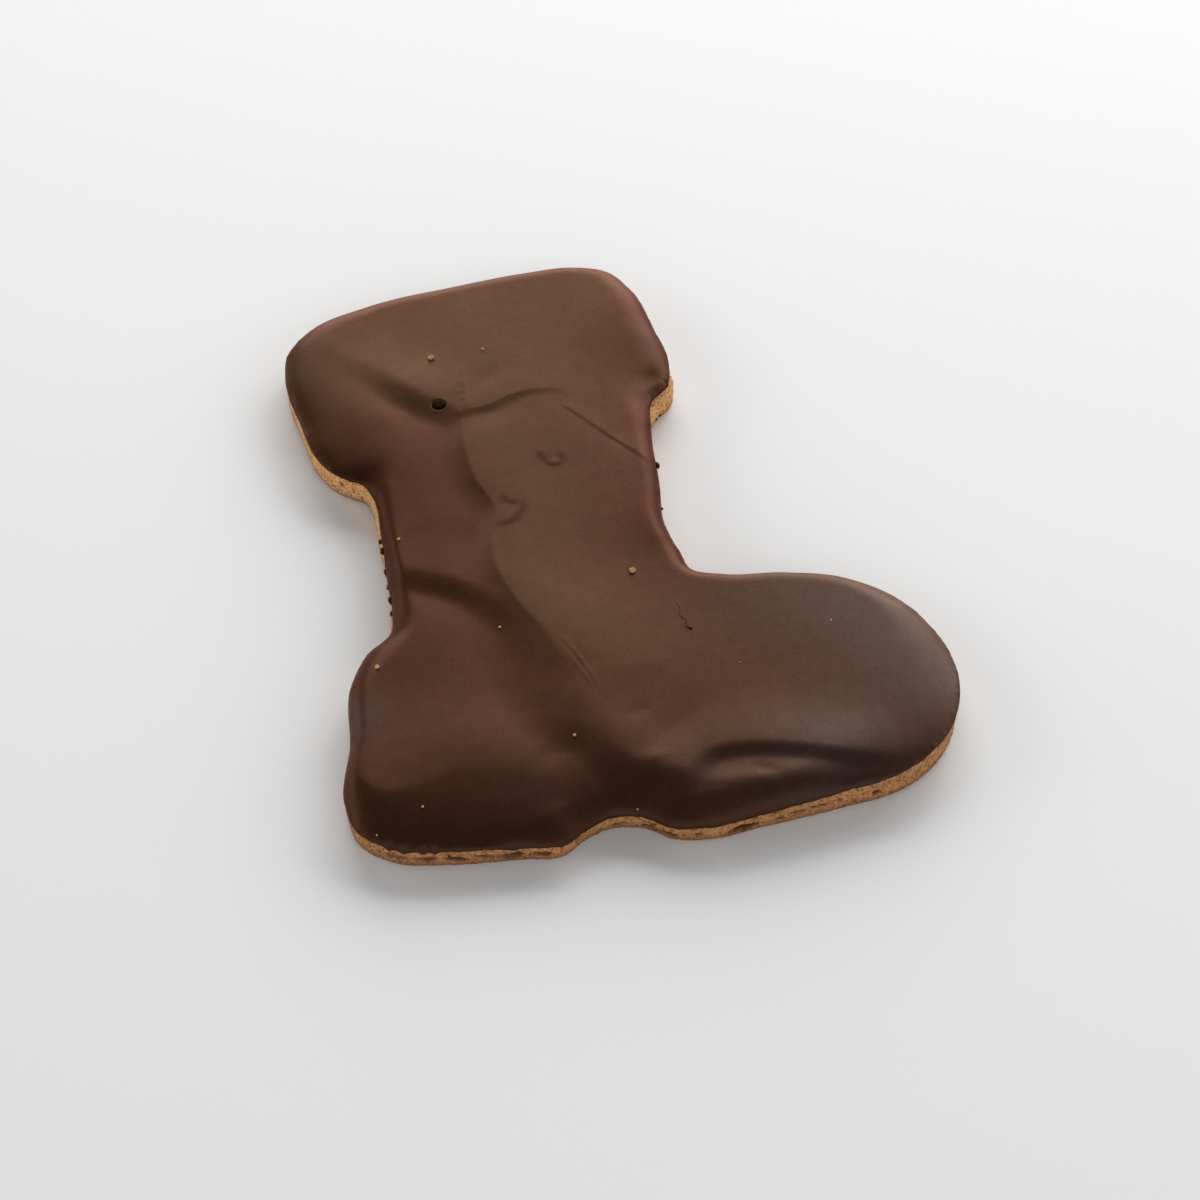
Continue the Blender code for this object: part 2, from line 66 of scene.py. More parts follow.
EDGE_STEPS = 36             # outline points from one knot to the next
LINE_STEPS = 24             # the same along a flow mark
FOOT_STEPS = 5              # rings that round the foot
WALL_STEPS = 15             # rings up the bare wall
BISCUIT_RINGS = (WALL_INSET + 0.15, WALL_INSET + 0.8, FILL_INSET)     # insets on the biscuit's top
UNDER_RINGS = (FILL_INSET, 1.3)                                       # and under the chocolate
COAT_RINGS = (-0.15, -0.1, 0.0, 0.15, 0.35, 0.6, 0.9, 1.2, 1.6, 2.0, FILL_INSET)
TOP_GRID = 0.6              # spacing of the chocolate's points: half of it along the crisp marks
HIDDEN_GRID = 3.0           # spacing where the chocolate covers the biscuit
CRISP_BAND = 1.1            # half width of the fine strip along a crisp mark
FILL_MARGIN = 0.5           # share of the spacing left free between the rings and the fill's points
DISTANCE_POWER = 8          # sharpness of the smooth distance to the edge
WALL_REACH = 8.0            # a mark on the wall has no effect further off than this
FAR_AWAY = 1000.0           # stands for any distance past that reach

SWELL_WAVES = ((23.0, 0.05), (15.0, 0.04), (31.0, 0.06))     # wavelength and height on the top
LIP_WAVES = ((23, 0.06), (53, 0.05), (90, 0.04), (171, 0.03), (263, 0.03))     # waves round the lip
WAVE_SEED = 7

# Sandy wall: size, seed and height of each kind of grain.
CRUMB_GRAINS = ((1.3, 1, 0.07), (0.55, 2, 0.09), (0.27, 3, 0.07))
CRUMB_HOLE_SIZE = 0.8
CRUMB_HOLE_SEED = 4
CRUMB_HOLE_DEPTH = 0.32
CRUMB_STRETCH = (1, 1, 1.3)     # the grains are flatter than they are wide
CRUMB_RISE = 0.12               # grains stand out this far at most
CRUMB_DIP = 0.4                 # and holes sink this far at most
HOLLOW_SHADE_FULL = 0.5               # painted shade is darkest in a hollow of this depth

# The cutter's line, anticlockwise from the back corner of the cuff. Each knot is x, y, the height where the
# chocolate ends on the wall, and the width over which the chocolate rolls down to the edge.
CUTTER_KNOTS = (
    (-36.2, 48.5, 3.7, 8.0),
    (-37.6, 42.0, 3.8, 10.0),
    (-36.8, 30.0, 3.9, 12.0),
    (-35.8, 22.6, 4.0, 12.0),
    (-34.0, 18.6, 4.0, 12.0),
    (-31.8, 16.4, 4.0, 9.0),
    (-30.2, 15.2, 3.9, 7.0),
    (-29.1, 12.2, 3.8, 4.0),
    (-29.1, 4.0, 3.5, 2.5),
    (-29.6, -4.0, 2.5, 2.5),
    (-30.0, -11.5, 2.4, 2.8),
    (-31.3, -17.1, 3.2, 4.5),
    (-35.0, -20.6, 3.2, 5.0),
    (-37.8, -25.8, 3.2, 3.6),
    (-39.6, -37.0, 3.2, 2.8),
    (-41.8, -47.0, 3.1, 3.8),
    (-40.9, -52.3, 3.0, 8.0),
    (-37.0, -56.0, 3.1, 12.0),
    (-30.0, -57.8, 3.0, 13.0),
    (-21.0, -58.8, 2.8, 14.0),
    (-15.7, -59.3, 2.6, 13.0),
    (-12.3, -57.1, 2.3, 11.0),
    (-8.6, -55.8, 2.6, 9.0),
    (-4.5, -56.8, 2.6, 8.0),
    (-1.5, -59.3, 2.6, 7.5),
    (2.6, -60.2, 2.7, 6.0),
    (11.0, -59.5, 3.0, 4.5),
    (21.0, -58.4, 3.5, 5.5),
    (30.0, -56.7, 4.0, 8.5),
    (36.1, -52.5, 4.1, 11.0),
    (40.4, -45.5, 3.9, 11.0),
    (42.0, -38.0, 3.4, 9.0),
    (41.1, -30.7, 3.3, 7.0),
    (37.7, -23.8, 3.3, 5.0),
    (31.4, -18.8, 3.4, 3.5),
    (24.0, -16.6, 3.6, 3.0),
    (15.7, -15.3, 3.8, 3.0),
    (11.8, -13.4, 3.8, 3.0),
    (10.9, -9.0, 3.8, 3.0),
    (10.2, -2.0, 3.8, 3.0),
    (11.4, 6.0, 3.8, 3.0),
    (13.1, 19.0, 3.9, 3.5),
    (14.8, 25.5, 3.9, 5.0),
    (17.6, 28.4, 3.9, 7.0),
    (19.1, 33.5, 3.8, 6.0),
    (18.9, 43.1, 3.6, 5.0),
    (17.8, 52.7, 3.5, 4.5),
    (15.1, 58.2, 3.5, 4.0),
    (9.5, 60.4, 3.5, 3.5),
    (2.0, 60.3, 3.5, 3.5),
    (-10.0, 59.1, 3.5, 3.5),
    (-23.5, 56.8, 3.5, 4.0),
    (-31.8, 53.5, 3.5, 5.0),
)
# Flow marks in the chocolate. A ridge stands up along its line, or sinks where its height is negative: its
# half width comes first. A bank is a step with its high side on the left of its line: its crispness, from 0
# to 1, comes first, then its width and how far it spreads. Knots are x, y and height.
RIDGES = (
    # low run down the heel half of the shaft
    (3.2, ((-25.0, 30.0, 0.0), (-23.5, 24.0, 0.08), (-23.0, 12.0, 0.1), (-22.6, 0.0, 0.08),
           (-20.4, -7.0, 0.0))),
    # crease across the drip under the toe
    (0.9, ((9.6, -53.2, 0.0), (11.8, -54.6, -0.12), (14.4, -56.2, 0.0))),
)
BANKS = (
    # front of the cuff, from its heel end to the blister
    (0.0, 5.4, 6.5, ((-28.4, 46.0, 0.0), (-25.5, 41.9, 0.3), (-22.9, 38.2, 0.6), (-20.6, 34.8, 0.9),
                     (-18.3, 31.6, 1.0), (-16.0, 29.2, 0.75), (-13.8, 27.6, 0.4),
                     (-11.6, 26.6, 0.15), (-9.6, 26.0, 0.0))),
    # front of the cuff's lobe
    (0.7, 1.7, 5.0, ((-15.6, 25.6, 0.0), (-12.0, 26.2, 0.18), (-9.4, 26.9, 0.22), (-6.8, 28.2, 0.22),
                     (-3.4, 29.2, 0.16), (0.6, 28.9, 0.06), (3.4, 27.4, 0.0))),
    # edge of the second pour, from the cuff down into the foot
    (1.0, 4.2, 8.5, ((-13.6, 26.0, 0.2), (-14.3, 21.6, 0.55), (-14.7, 15.3, 0.65), (-14.4, 9.9, 0.65),
                     (-13.4, 6.2, 0.55), (-12.9, 3.4, 0.5), (-13.5, 0.4, 0.5), (-14.7, -4.1, 0.6),
                     (-15.1, -8.3, 0.6), (-14.5, -13.2, 0.5), (-13.3, -18.1, 0.4), (-11.6, -22.5, 0.3),
                     (-10.3, -27.5, 0.2), (-9.0, -31.2, 0.12), (-7.6, -36.0, 0.0))),
    # flow front from the heel side of the shaft, down into the heel
    (0.0, 5.0, 7.0, ((-32.6, -4.6, 0.5), (-29.9, -5.4, 0.6), (-27.8, -6.2, 0.65), (-23.7, -8.0, 0.8),
                     (-19.7, -10.6, 0.85), (-17.4, -13.0, 0.8), (-15.4, -16.4, 0.7), (-13.8, -20.4, 0.5),
                     (-12.8, -25.7, 0.3), (-12.3, -31.0, 0.0))),
    # heel side of the foot, thicker than the heel
    (0.0, 11.0, 12.0, ((-13.6, -4.0, 0.0), (-13.2, -9.0, 0.04), (-12.2, -14.0, 0.22), (-10.8, -19.7, 0.7),
                       (-9.8, -25.1, 1.15), (-9.1, -31.0, 1.5), (-8.2, -35.9, 1.5), (-6.6, -39.9, 1.1),
                       (-3.9, -44.7, 0.5), (-2.0, -47.6, 0.0))),
    # front of the foot over the notch, round to the island's end
    (0.0, 6.0, 6.0, ((-13.4, -37.6, 0.0), (-9.6, -41.4, 0.5), (-6.2, -45.9, 0.9), (-4.3, -49.0, 0.95),
                     (-1.8, -51.2, 0.8), (1.1, -52.2, 0.5), (3.6, -52.4, 0.2), (6.4, -52.0, 0.0))),
    # front of the foot round the island under the toe
    (0.0, 2.6, 6.0, ((-0.2, -58.4, 0.0), (0.4, -54.9, 0.4), (2.2, -52.1, 0.55), (4.9, -49.9, 0.65),
                     (9.2, -49.3, 0.65), (12.9, -49.9, 0.65), (17.2, -51.2, 0.65), (21.2, -52.6, 0.6),
                     (25.6, -54.0, 0.5), (30.0, -54.6, 0.25), (34.0, -53.0, 0.0))),
    # low arch over the notch
    (0.0, 3.0, 6.0, ((-21.0, -51.0, 0.0), (-20.0, -47.7, 0.06), (-18.1, -45.3, 0.1), (-15.9, -44.0, 0.1),
                     (-12.0, -43.4, 0.06), (-9.0, -45.0, 0.0))),
    # hollow at the root of the shaft
    (0.0, 4.0, 6.0, ((2.6, -10.0, 0.0), (6.0, -7.2, 0.15), (9.5, -4.8, 0.3), (12.5, -3.0, 0.2))),
)
CRISP_BANKS = BANKS[1:3]    # the lobe's front and the second pour's edge
SECOND_POUR = BANKS[2][-1]
# Mounds and hollows: x, y, half length, half width, turn in degrees, height.
MOUNDS = (
    (-27.0, 31.0, 9.0, 8.0, 0.0, 0.3),
    (6.6, -56.0, 3.0, 2.1, 40.0, 0.16),
    (14.5, -56.4, 6.4, 2.0, -6.0, 0.14),
    (5.6, -57.6, 1.8, 0.9, -10.0, 0.12),
    (-25.5, -42.5, 10.0, 7.5, 0.0, 0.35),
    (-1.3, -50.0, 1.4, 0.9, 0.0, 0.12),
    (-17.0, -56.2, 5.0, 1.5, 18.0, 0.25),
    (1.4, -57.2, 1.8, 1.0, 0.0, 0.15),
    (15.4, 29.2, 2.6, 1.8, 35.0, -0.3),
    (-2.9, 13.2, 1.7, 1.0, 0.0, -0.09),
    (-10.2, 3.6, 2.5, 1.5, 80.0, -0.14),
    (-8.2, 33.6, 2.6, 1.2, 50.0, -0.08),
    (-0.7, -50.3, 0.9, 0.7, 0.0, -0.08),
    (-2.0, -41.2, 1.6, 1.1, 30.0, -0.08),
)
# Finer marks than the solids hold: the double line at the end of the second pour, as ridges, and steps
# whose high side is to the left: the thread from the cuff to the shaft's edge, and burst bubbles. The
# mounds fill the middles of the bubbles' dents.
FINE_RIDGES = (
    (0.25, ((-9.6, -24.6, 0.0), (-8.2, -28.2, 0.05), (-7.0, -32.6, 0.06), (-6.1, -37.0, 0.0))),
    (0.25, ((-10.4, -25.4, 0.0), (-9.0, -29.0, 0.04), (-7.8, -33.0, 0.05), (-6.9, -36.6, 0.0))),
)
THREAD = (0.6, 0.45, 1.2, ((0.6, 25.6, 0.0), (1.6, 24.2, 0.04), (3.6, 21.0, 0.06), (5.6, 17.7, 0.07),
                           (8.6, 13.0, 0.08), (11.3, 8.9, 0.08), (12.2, 7.4, 0.05)))
BUBBLE_BANKS = (
    (0.5, 0.8, 2.5, ((-4.4, 14.2, 0.0), (-3.8, 12.6, 0.04), (-3.0, 11.6, 0.06), (-2.1, 11.7, 0.05),
                     (-1.4, 13.0, 0.0))),
    (0.5, 0.8, 2.0, ((-11.4, 5.6, 0.0), (-10.8, 4.6, 0.04), (-10.0, 3.9, 0.0))),
    (0.5, 1.0, 2.5, ((-12.9, -0.3, 0.0), (-11.3, 0.1, 0.05), (-10.2, 1.0, 0.06), (-9.4, 2.2, 0.05),
                     (-8.9, 3.6, 0.0))),
)
FINE_BANKS = (THREAD, *BUBBLE_BANKS)
BUBBLE_SHADE_WIDTH = 0.6           # half width of the painted shade along each burst bubble's dent
BUBBLE_SHADE = 0.8
FINE_MOUNDS = (
    (-2.9, 13.5, 1.7, 1.0, 0.0, 0.06),
    (-10.2, 3.6, 2.5, 1.5, 80.0, 0.1),
)
# Burst bubble: x, y, radius and depth.
BLISTER = (-16.7, 28.3, 1.15, 1.1)
BLISTER_SIDES = 28
BLISTER_RINGS = (0.25, 0.5, 0.7, 0.82, 0.92, 1.0, 1.1, 1.25, 1.5)

# Runs of chocolate over the wall: x, y, half width along the edge, and drop.
DRIPS = (
    (-29.8, 1.2, 0.4, 0.4),
    (-29.9, -2.2, 0.7, 0.6),
    (-30.1, -8.6, 0.8, 0.4),
    (-37.5, -55.4, 0.5, 0.35),
    (-35.7, -56.5, 0.6, 0.3),
    (-33.4, -57.0, 0.5, 0.4),
    (-32.0, -57.3, 0.4, 0.4),
    (-22.0, -58.8, 0.9, 0.3),
    (17.6, 29.0, 0.4, 0.4),
)
# Where the biscuit stands out past the chocolate: x, y, half length and width.
BARE_EDGES = (
    (-29.4, 6.5, 6.5, 0.6),
    (-30.3, -13.0, 2.6, 0.5),
    (16.6, 27.4, 5.5, 0.95),
)
# Cavities in the bare wall: x, y, height of the centre, length, height and depth.
WALL_PITS = (
    (7.8, -60.0, 1.2, 3.8, 1.2, 1.1),
    (6.1, -59.8, 1.0, 1.6, 0.9, 0.8),
    (12.6, -59.3, 1.3, 1.2, 0.5, 0.6),
    (15.2, -58.9, 1.7, 2.4, 0.6, 0.8),
    (17.9, -58.6, 1.9, 2.8, 0.6, 0.9),
    (20.4, -58.4, 2.0, 1.6, 0.5, 0.8),
    (26.0, -57.9, 1.7, 1.3, 0.8, 0.8),
    (29.2, -57.0, 2.3, 1.0, 0.4, 0.5),
    (33.6, -54.9, 2.2, 1.2, 0.5, 0.5),
    (-2.0, -58.8, 1.2, 2.8, 0.6, 0.7),
    (-4.4, -57.2, 0.9, 2.4, 0.7, 0.7),
    (1.8, -60.0, 1.4, 1.4, 0.5, 0.6),
    (-8.0, -56.2, 1.1, 1.4, 0.5, 0.5),
    (-18.4, -58.9, 1.3, 2.4, 0.6, 0.6),
    (-22.2, -58.7, 1.6, 2.6, 0.6, 0.6),
    (-26.4, -57.9, 1.8, 1.6, 0.5, 0.6),
    (-29.4, -57.2, 1.5, 2.4, 0.7, 0.6),
    (-33.0, -57.0, 1.4, 1.8, 0.6, 0.5),
    (-38.8, -54.6, 1.6, 1.2, 0.4, 0.4),
    (-33.4, 17.2, 2.4, 1.4, 0.8, 0.4),
)
# Chocolate rubbed on the bare wall: x, y, height of the centre, length and height.
WALL_SMEARS = (
    (-18.6, -59.0, 1.5, 3.4, 0.9),
    (-22.4, -58.8, 1.3, 3.6, 1.1),
    (-36.6, -56.0, 1.8, 4.0, 0.9),
    (-33.0, -57.0, 1.7, 3.0, 0.8),
    (-29.0, -57.2, 1.5, 3.6, 0.9),
    (-25.5, -58.0, 1.7, 3.0, 0.8),
    (-30.2, -10.0, 1.6, 2.6, 0.9),
    (19.6, 34.0, 1.0, 4.0, 0.6),
)

# Lumps of chocolate on the lip and the wall: x, y, height of the centre, and radius.
NIBS = (
    (12.25, 10.7, 4.0, 0.42),
    (10.6, 2.1, 3.8, 0.3),
    (10.85, 1.5, 3.6, 0.22),
    (-29.5, 3.2, 3.1, 0.3),
    (-29.45, 1.4, 2.9, 0.42),
    (-29.55, -2.6, 2.4, 0.46),
    (-29.75, -5.6, 2.2, 0.34),
    (-29.85, -8.2, 2.1, 0.5),
    (-30.1, -11.0, 2.0, 0.42),
    (19.4, 33.2, 1.5, 0.26),
    (19.1, 31.4, 1.2, 0.28),
    (18.4, 29.9, 1.0, 0.3),
    (17.6, 28.4, 0.9, 0.26),
    (16.0, 26.2, 0.9, 0.46),
    (15.3, 25.3, 0.8, 0.34),
    (-23.6, 56.9, 3.7, 0.25),
    (10.3, -2.6, 3.2, 0.24),
    (10.6, -4.2, 3.1, 0.2),
    (22.6, -16.5, 3.6, 0.22),
)
NIB_SHAPE = (0.7, 1.4, 0.9)
CRUMB_SHAPE = (1.0, 1.0, 0.85)
CRUMB_LIFT = 0.35           # a crumb's centre lies above the chocolate by this share of its radius
# Richer, redder chocolate darkened by painted shade where the amount is positive, and a painted sheen that
# whitens it where it is negative: x, y, half width and amount.
SHADE_AND_SHEEN_PATCHES = (
    (-36.0, 33.0, 9.0, 0.45),
    (-24.0, 14.0, 10.0, 0.85),
    (-23.0, -1.0, 9.0, 0.8),
    (-27.0, -22.0, 11.0, 0.45),
    (-14.0, -32.0, 9.0, 0.25),
    (-27.0, -54.0, 9.0, 0.3),
    (13.0, 37.0, 7.0, 0.6),
    (-38.0, 42.0, 4.0, -0.6),
    (8.0, -4.0, 10.0, 0.3),
    (36.0, -30.0, 10.0, -1.0),
    (40.0, -42.0, 9.0, -1.0),
    (22.0, -22.0, 11.0, -0.6),
    (22.0, -53.0, 11.0, -1.0),
    (4.0, -52.0, 7.0, -0.3),
    (-39.0, -34.0, 4.5, -0.9),
    (-20.0, -52.0, 5.0, -0.3),
    (-38.0, 27.0, 4.0, -0.4),
    (19.0, 46.0, 4.0, 0.9),
    (19.5, 38.0, 4.0, 0.8),
    (14.0, 18.0, 4.0, 1.0),
    (12.5, 8.0, 4.0, 1.0),
    (11.0, -2.0, 4.0, 1.0),
    (12.0, -11.0, 4.0, 0.9),
)
# Biscuit crumbs caught on the chocolate: x, y and radius.
CRUMBS = (
    (-15.9, 39.8, 0.42),
    (-8.0, 40.4, 0.2),
    (3.2, -13.5, 0.4),
    (-34.2, -25.4, 0.3),
    (-11.2, -43.9, 0.2),
    (-32.5, -51.7, 0.15),
    (-38.8, -54.0, 0.12),
    (-5.5, -56.0, 0.12),
    (-27.3, -0.3, 0.2),
    (-16.8, -21.0, 0.18),
    (27.3, -29.0, 0.1),
    (13.2, -34.6, 0.1),
)
# Dark hair of chocolate on the instep: x and y along it.
HAIR_KNOTS = ((7.6, -21.0), (7.9, -22.2), (7.5, -23.6), (8.2, -25.0), (7.9, -26.2), (8.6, -26.7))
HAIR_RADIUS = 0.11
HAIR_SIDES = 10
HAIR_STEPS = 10             # points from one of its knots to the next

# Linear colours.
RED_BROWN = (0.032, 0.023, 0.025)
OLIVE_BROWN = (0.030, 0.036, 0.022)
CHOCOLATE_ROUGHNESS = 0.5
CHOCOLATE_GLOSS = 0.285
COCOA_TINT = (1.0, 0.53, 0.31)      # tint of everything that comes back through the cocoa butter
RICH_SHADE_TINT = (0.80, 0.335, 0.14)     # the same where the chocolate is richest and darkened by painted shade
BUBBLE_SHADE_TINT = (0.6, 0.27, 0.13)       # the same, darker, as painted shade along the burst bubbles
SHEEN_TINT = (1.0, 0.74, 0.58)       # the same, whiter, where a painted sheen lies on it
COCOA_IOR = 1.085
COCOA_ROUGHNESS = 0.36
CRUMB_LIGHT = (0.52, 0.245, 0.088)
CRUMB_DARK = (0.34, 0.14, 0.046)
CRUMB_PALE = (0.80, 0.48, 0.205)
# dark specks of the crumb, also the painted shade in its hollows
CRUMB_SPECK_AND_SHADE = (0.07, 0.024, 0.008)
FOOT_BROWN = (0.16, 0.06, 0.02)
SOLE_SHADE_TINT = (0.64, 0.57, 0.52)       # the sole's wall is this much darker than the cuff's, as painted shade
SMEAR_BROWN = (0.085, 0.032, 0.022)
HAIR_BROWN = (0.02, 0.008, 0.005)

# ---------------------------------------------------------------- curves and distances


def spline(knots, steps, closed):
    """Points of the smooth curve through the knots: every column of a knot is carried along."""
    knots = np.asarray(knots, float)
    ahead = np.roll(knots, -1, axis=0)
    chord = np.linalg.norm((ahead - knots)[:, :2], axis=1)[:, None]
    slope = (ahead - knots) / chord
    chord_behind = np.roll(chord, 1, axis=0)
    slope_behind = np.roll(slope, 1, axis=0)
    tangent = (chord_behind * slope + chord * slope_behind) / (chord + chord_behind)
    count = len(knots)
    if not closed:
        tangent[0] = slope[0]
        tangent[-1] = slope_behind[-1]
        count -= 1
    tangent_ahead = np.roll(tangent, -1, axis=0)
    share = np.arange(steps)[:, None] / steps
    pieces = []
    for i in range(count):
        pieces.append(
            knots[i] * (2 * share**3 - 3 * share**2 + 1)
            + ahead[i] * (3 * share**2 - 2 * share**3)
            + tangent[i] * chord[i] * (share**3 - 2 * share**2 + share)
            + tangent_ahead[i] * chord[i] * (share**3 - share**2)
        )
    if not closed:
        pieces.append(knots[-1:])
    return np.vstack(pieces)


def directions(line, closed):
    """Unit tangents of a line of points, in the plane."""
    if closed:
        run = np.roll(line, -1, axis=0) - np.roll(line, 1, axis=0)
    else:
        run = np.gradient(line, axis=0)
    return run[:, :2] / np.linalg.norm(run[:, :2], axis=1)[:, None]


def in_chunks(points, work, size=4000):
    """Runs a per-point job a few thousand points at a time, to keep its tables small."""
    parts = [work(points[i:i + size]) for i in range(0, len(points), size)]
    return tuple(np.concatenate(column) for column in zip(*parts))


def steps_along(outline):
    """Length from each point of the closed outline to the next."""
    return np.linalg.norm(np.roll(outline, -1, axis=0)[:, :2] - outline[:, :2], axis=1)


def far_from(points, x, y):
    """Level distance of each point from x, y."""
    return np.linalg.norm(points[:, :2] - (x, y), axis=1)


def edge_fields(points, outline):
    """Smooth distance from each point to the outline, and the lip height and roll width there."""
    step = steps_along(outline)
    half = DISTANCE_POWER / 2
    straight = math.sqrt(math.pi) * math.gamma(half - 0.5) / math.gamma(half)

    def fields(chunk):
        across = chunk[:, None, 0] - outline[None, :, 0]
        up = chunk[:, None, 1] - outline[None, :, 1]
        weight = step / (across**2 + up**2) ** (DISTANCE_POWER // 2)
        total = weight.sum(axis=1)
        near = (weight @ outline[:, 2:]) / total[:, None]
        return (total / straight) ** (-1 / (DISTANCE_POWER - 1)), near[:, 0], near[:, 1]

    return in_chunks(points, fields)


def inside(points, outline):
    """True for each point that lies within the outline."""
    start = outline[:, :2]
    end = np.roll(start, -1, axis=0)
    rise = end[:, 1] - start[:, 1]
    rise = np.where(rise == 0, 1.0, rise)

    def test(chunk):
        x = chunk[:, 0:1]
        y = chunk[:, 1:2]
        spans = (start[:, 1] > y) != (end[:, 1] > y)
        crossing = start[:, 0] + (y - start[:, 1]) * (end[:, 0] - start[:, 0]) / rise
        return ((spans & (x < crossing)).sum(axis=1) % 2 == 1,)

    return in_chunks(points, test)[0]


def waves(share, table, seed):
    """Sum of sines round a closed loop, with seeded phases."""
    phase = np.random.RandomState(seed).uniform(0, 2 * math.pi, len(table))
    return sum(
        height * np.sin(2 * math.pi * count * share + start)
        for (count, height), start in zip(table, phase)
    )


def smooth(share):
    """Eases a share from 0 to 1, level at both ends."""
    share = np.clip(share, 0, 1)
    return share * share * (3 - 2 * share)


def grain(points, size, seed):
    """Smooth noise of about one grain size, from -1 to 1."""
    shift = Vector((seed * 3.1, seed * 7.7, seed * 1.9))
    return np.array([noise.noise(Vector(point) / size + shift) for point in points.tolist()])


# ---------------------------------------------------------------- relief of the chocolate


def along(points, line):
    """Signed distance of each point from an open line, positive on its left, and the line's height there."""
    tangent = directions(line, closed=False)

    def nearest_on_line(chunk):
        across = chunk[:, None, 0] - line[None, :, 0]
        up = chunk[:, None, 1] - line[None, :, 1]
        reach = across**2 + up**2
        nearest = reach.argmin(axis=1)
        rows = np.arange(len(chunk))
        side = tangent[nearest, 0] * up[rows, nearest] - tangent[nearest, 1] * across[rows, nearest]
        return np.sign(side) * np.sqrt(reach[rows, nearest]), line[nearest, 2]

    return in_chunks(points, nearest_on_line)


def ridge(points, width, knots):
    """Height of a flow mark that stands up along its line."""
    offset, height = along(points, spline(knots, LINE_STEPS, closed=False))
    return height * np.exp(-((offset / width) ** 2))


def bank(points, crispness, width, spread, knots):
    """Height of a step in the chocolate, with its high side on the left of its line."""
    offset, height = along(points, spline(knots, LINE_STEPS, closed=False))
    share = np.clip(1 + offset / width, 0, 1)
    climb = share**2 * (1 + 2 * (1 - crispness) * (1 - share))
    dip = BANK_DIP * np.exp(-((offset / spread) ** 2))
    return height * (np.where(offset < 0, climb, np.exp(-((offset / spread) ** 2))) - dip)


def mound(points, x, y, half_length, half_width, turn, height):
    """Height of a soft oval mound, or of a hollow where it is negative."""
    angle = math.radians(turn)
    lengthwise = (points[:, 0] - x) * math.cos(angle) + (points[:, 1] - y) * math.sin(angle)
    crosswise = (points[:, 1] - y) * math.cos(angle) - (points[:, 0] - x) * math.sin(angle)
    return height * np.exp(-((lengthwise / half_length) ** 2) - (crosswise / half_width) ** 2)


def swell(points):
    """Slow unevenness of the poured surface."""
    random = np.random.RandomState(WAVE_SEED)
    height = np.zeros(len(points))
    for length, size in SWELL_WAVES:
        heading, start = random.uniform(0, 2 * math.pi, 2)
        run = points[:, 0] * math.cos(heading) + points[:, 1] * math.sin(heading)
        height += size * np.sin(2 * math.pi * run / length + start)
    return height


def blister(points):
    """Height of the large burst bubble: a deep hole with a faint rim."""
    x, y, radius, depth = BLISTER
    reach = far_from(points, x, y) / radius
    hole = -depth * (1 - smooth((reach - 0.55) / 0.5))
    rim = 0.03 * np.exp(-(((reach - 1.15) / 0.2) ** 2))
    return hole + rim


def relief(points):
    """Height of everything that stands out of the chocolate's plain rounded form."""
    height = swell(points) + blister(points)
    for width, knots in RIDGES + FINE_RIDGES:
        height += ridge(points, width, knots)
    for mark in BANKS + FINE_BANKS:
        height += bank(points, *mark)
    for shape in MOUNDS + FINE_MOUNDS:
        height += mound(points, *shape)
    return height


# ---------------------------------------------------------------- heights and rings


def rolled(distance, low, high, width):
    """Height of a rounded edge that rises steeply from the rim and is level from its width inwards."""
    share = np.clip(distance / width, 0, 1)
    return low + (high - low) * (1 - (1 - share) ** 2) ** EDGE_POWER


def biscuit_top(distance, lip, roll):
    """Height of the biscuit's top at a distance from the edge."""
    return rolled(distance - WALL_INSET, lip - LEDGE_DROP, BISCUIT_HEIGHT, roll)


def coat_top(points, distance, lip, roll):
    """Height of the chocolate's top at a distance from the edge, relief included."""
    depth = distance + COAT_OVERHANG
    fade = np.clip(depth / RELIEF_FADE, 0, 1)
    return rolled(depth, lip, COOKIE_HEIGHT, roll) + fade * relief(points)


def ring(outline, inset, height):
    """The outline moved inwards by the inset, at the height."""
    tangent = directions(outline, closed=True)
    inward = np.column_stack([-tangent[:, 1], tangent[:, 0]])
    flat = outline[:, :2] + inward * np.reshape(inset, (-1, 1))
    return np.column_stack([flat, np.broadcast_to(height, len(flat))])


def grid_points(outline, step, crisp_lines):
    """A triangular grid within the fill's edge, with twice as many points along the crisp lines."""
    spacing = step / 2 if crisp_lines else step
    low = outline[:, :2].min(axis=0)
    high = outline[:, :2].max(axis=0)
    rows = np.arange(int((high[1] - low[1]) / (spacing * math.sqrt(0.75))) + 1)
    columns = np.arange(int((high[0] - low[0]) / spacing) + 1)
    row, column = (part.ravel() for part in np.meshgrid(rows, columns, indexing="ij"))
    points = np.column_stack(
        [low[0] + spacing * (column + 0.5 * (row % 2)), low[1] + spacing * math.sqrt(0.75) * row]
    )
    if crisp_lines:
        shift = (row % 4) // 2
        keep = (row % 2 == 0) & ((column + shift) % 2 == 0)
        for line in crisp_lines:
            low = line[:, :2].min(axis=0) - CRISP_BAND
            high = line[:, :2].max(axis=0) + CRISP_BAND
            box = np.flatnonzero(((points > low) & (points < high)).all(axis=1) & ~keep)
            keep[box] |= np.abs(along(points[box], line)[0]) < CRISP_BAND
        points = points[keep]
    points = points[inside(points, outline)]
    distance, lip, roll = edge_fields(points, outline)
    kept = distance > FILL_INSET + FILL_MARGIN * step
    return points[kept], distance[kept], lip[kept], roll[kept]


# ---------------------------------------------------------------- meshes


def fill(border, inner):
    """Triangles that cover a closed border, with the inner points as corners too."""
    flat = [tuple(point[:2]) for point in np.vstack([border, inner])]
    count = len(border)
    edges = [(i, (i + 1) % count) for i in range(count)]
    result = delaunay_2d_cdt(flat, edges, [], 1, 1e-5)
    source = [given[0] for given in result[3]]
    return [[source[corner] for corner in face] for face in result[2]]


def tube_faces(levels, size):
    """Four-sided faces from each ring of points to the next."""
    faces = []
    for level in range(levels - 1):
        for i in range(size):
            j = (i + 1) % size
            base = level * size
            faces.append((base + i, base + j, base + size + j, base + size + i))
    return faces


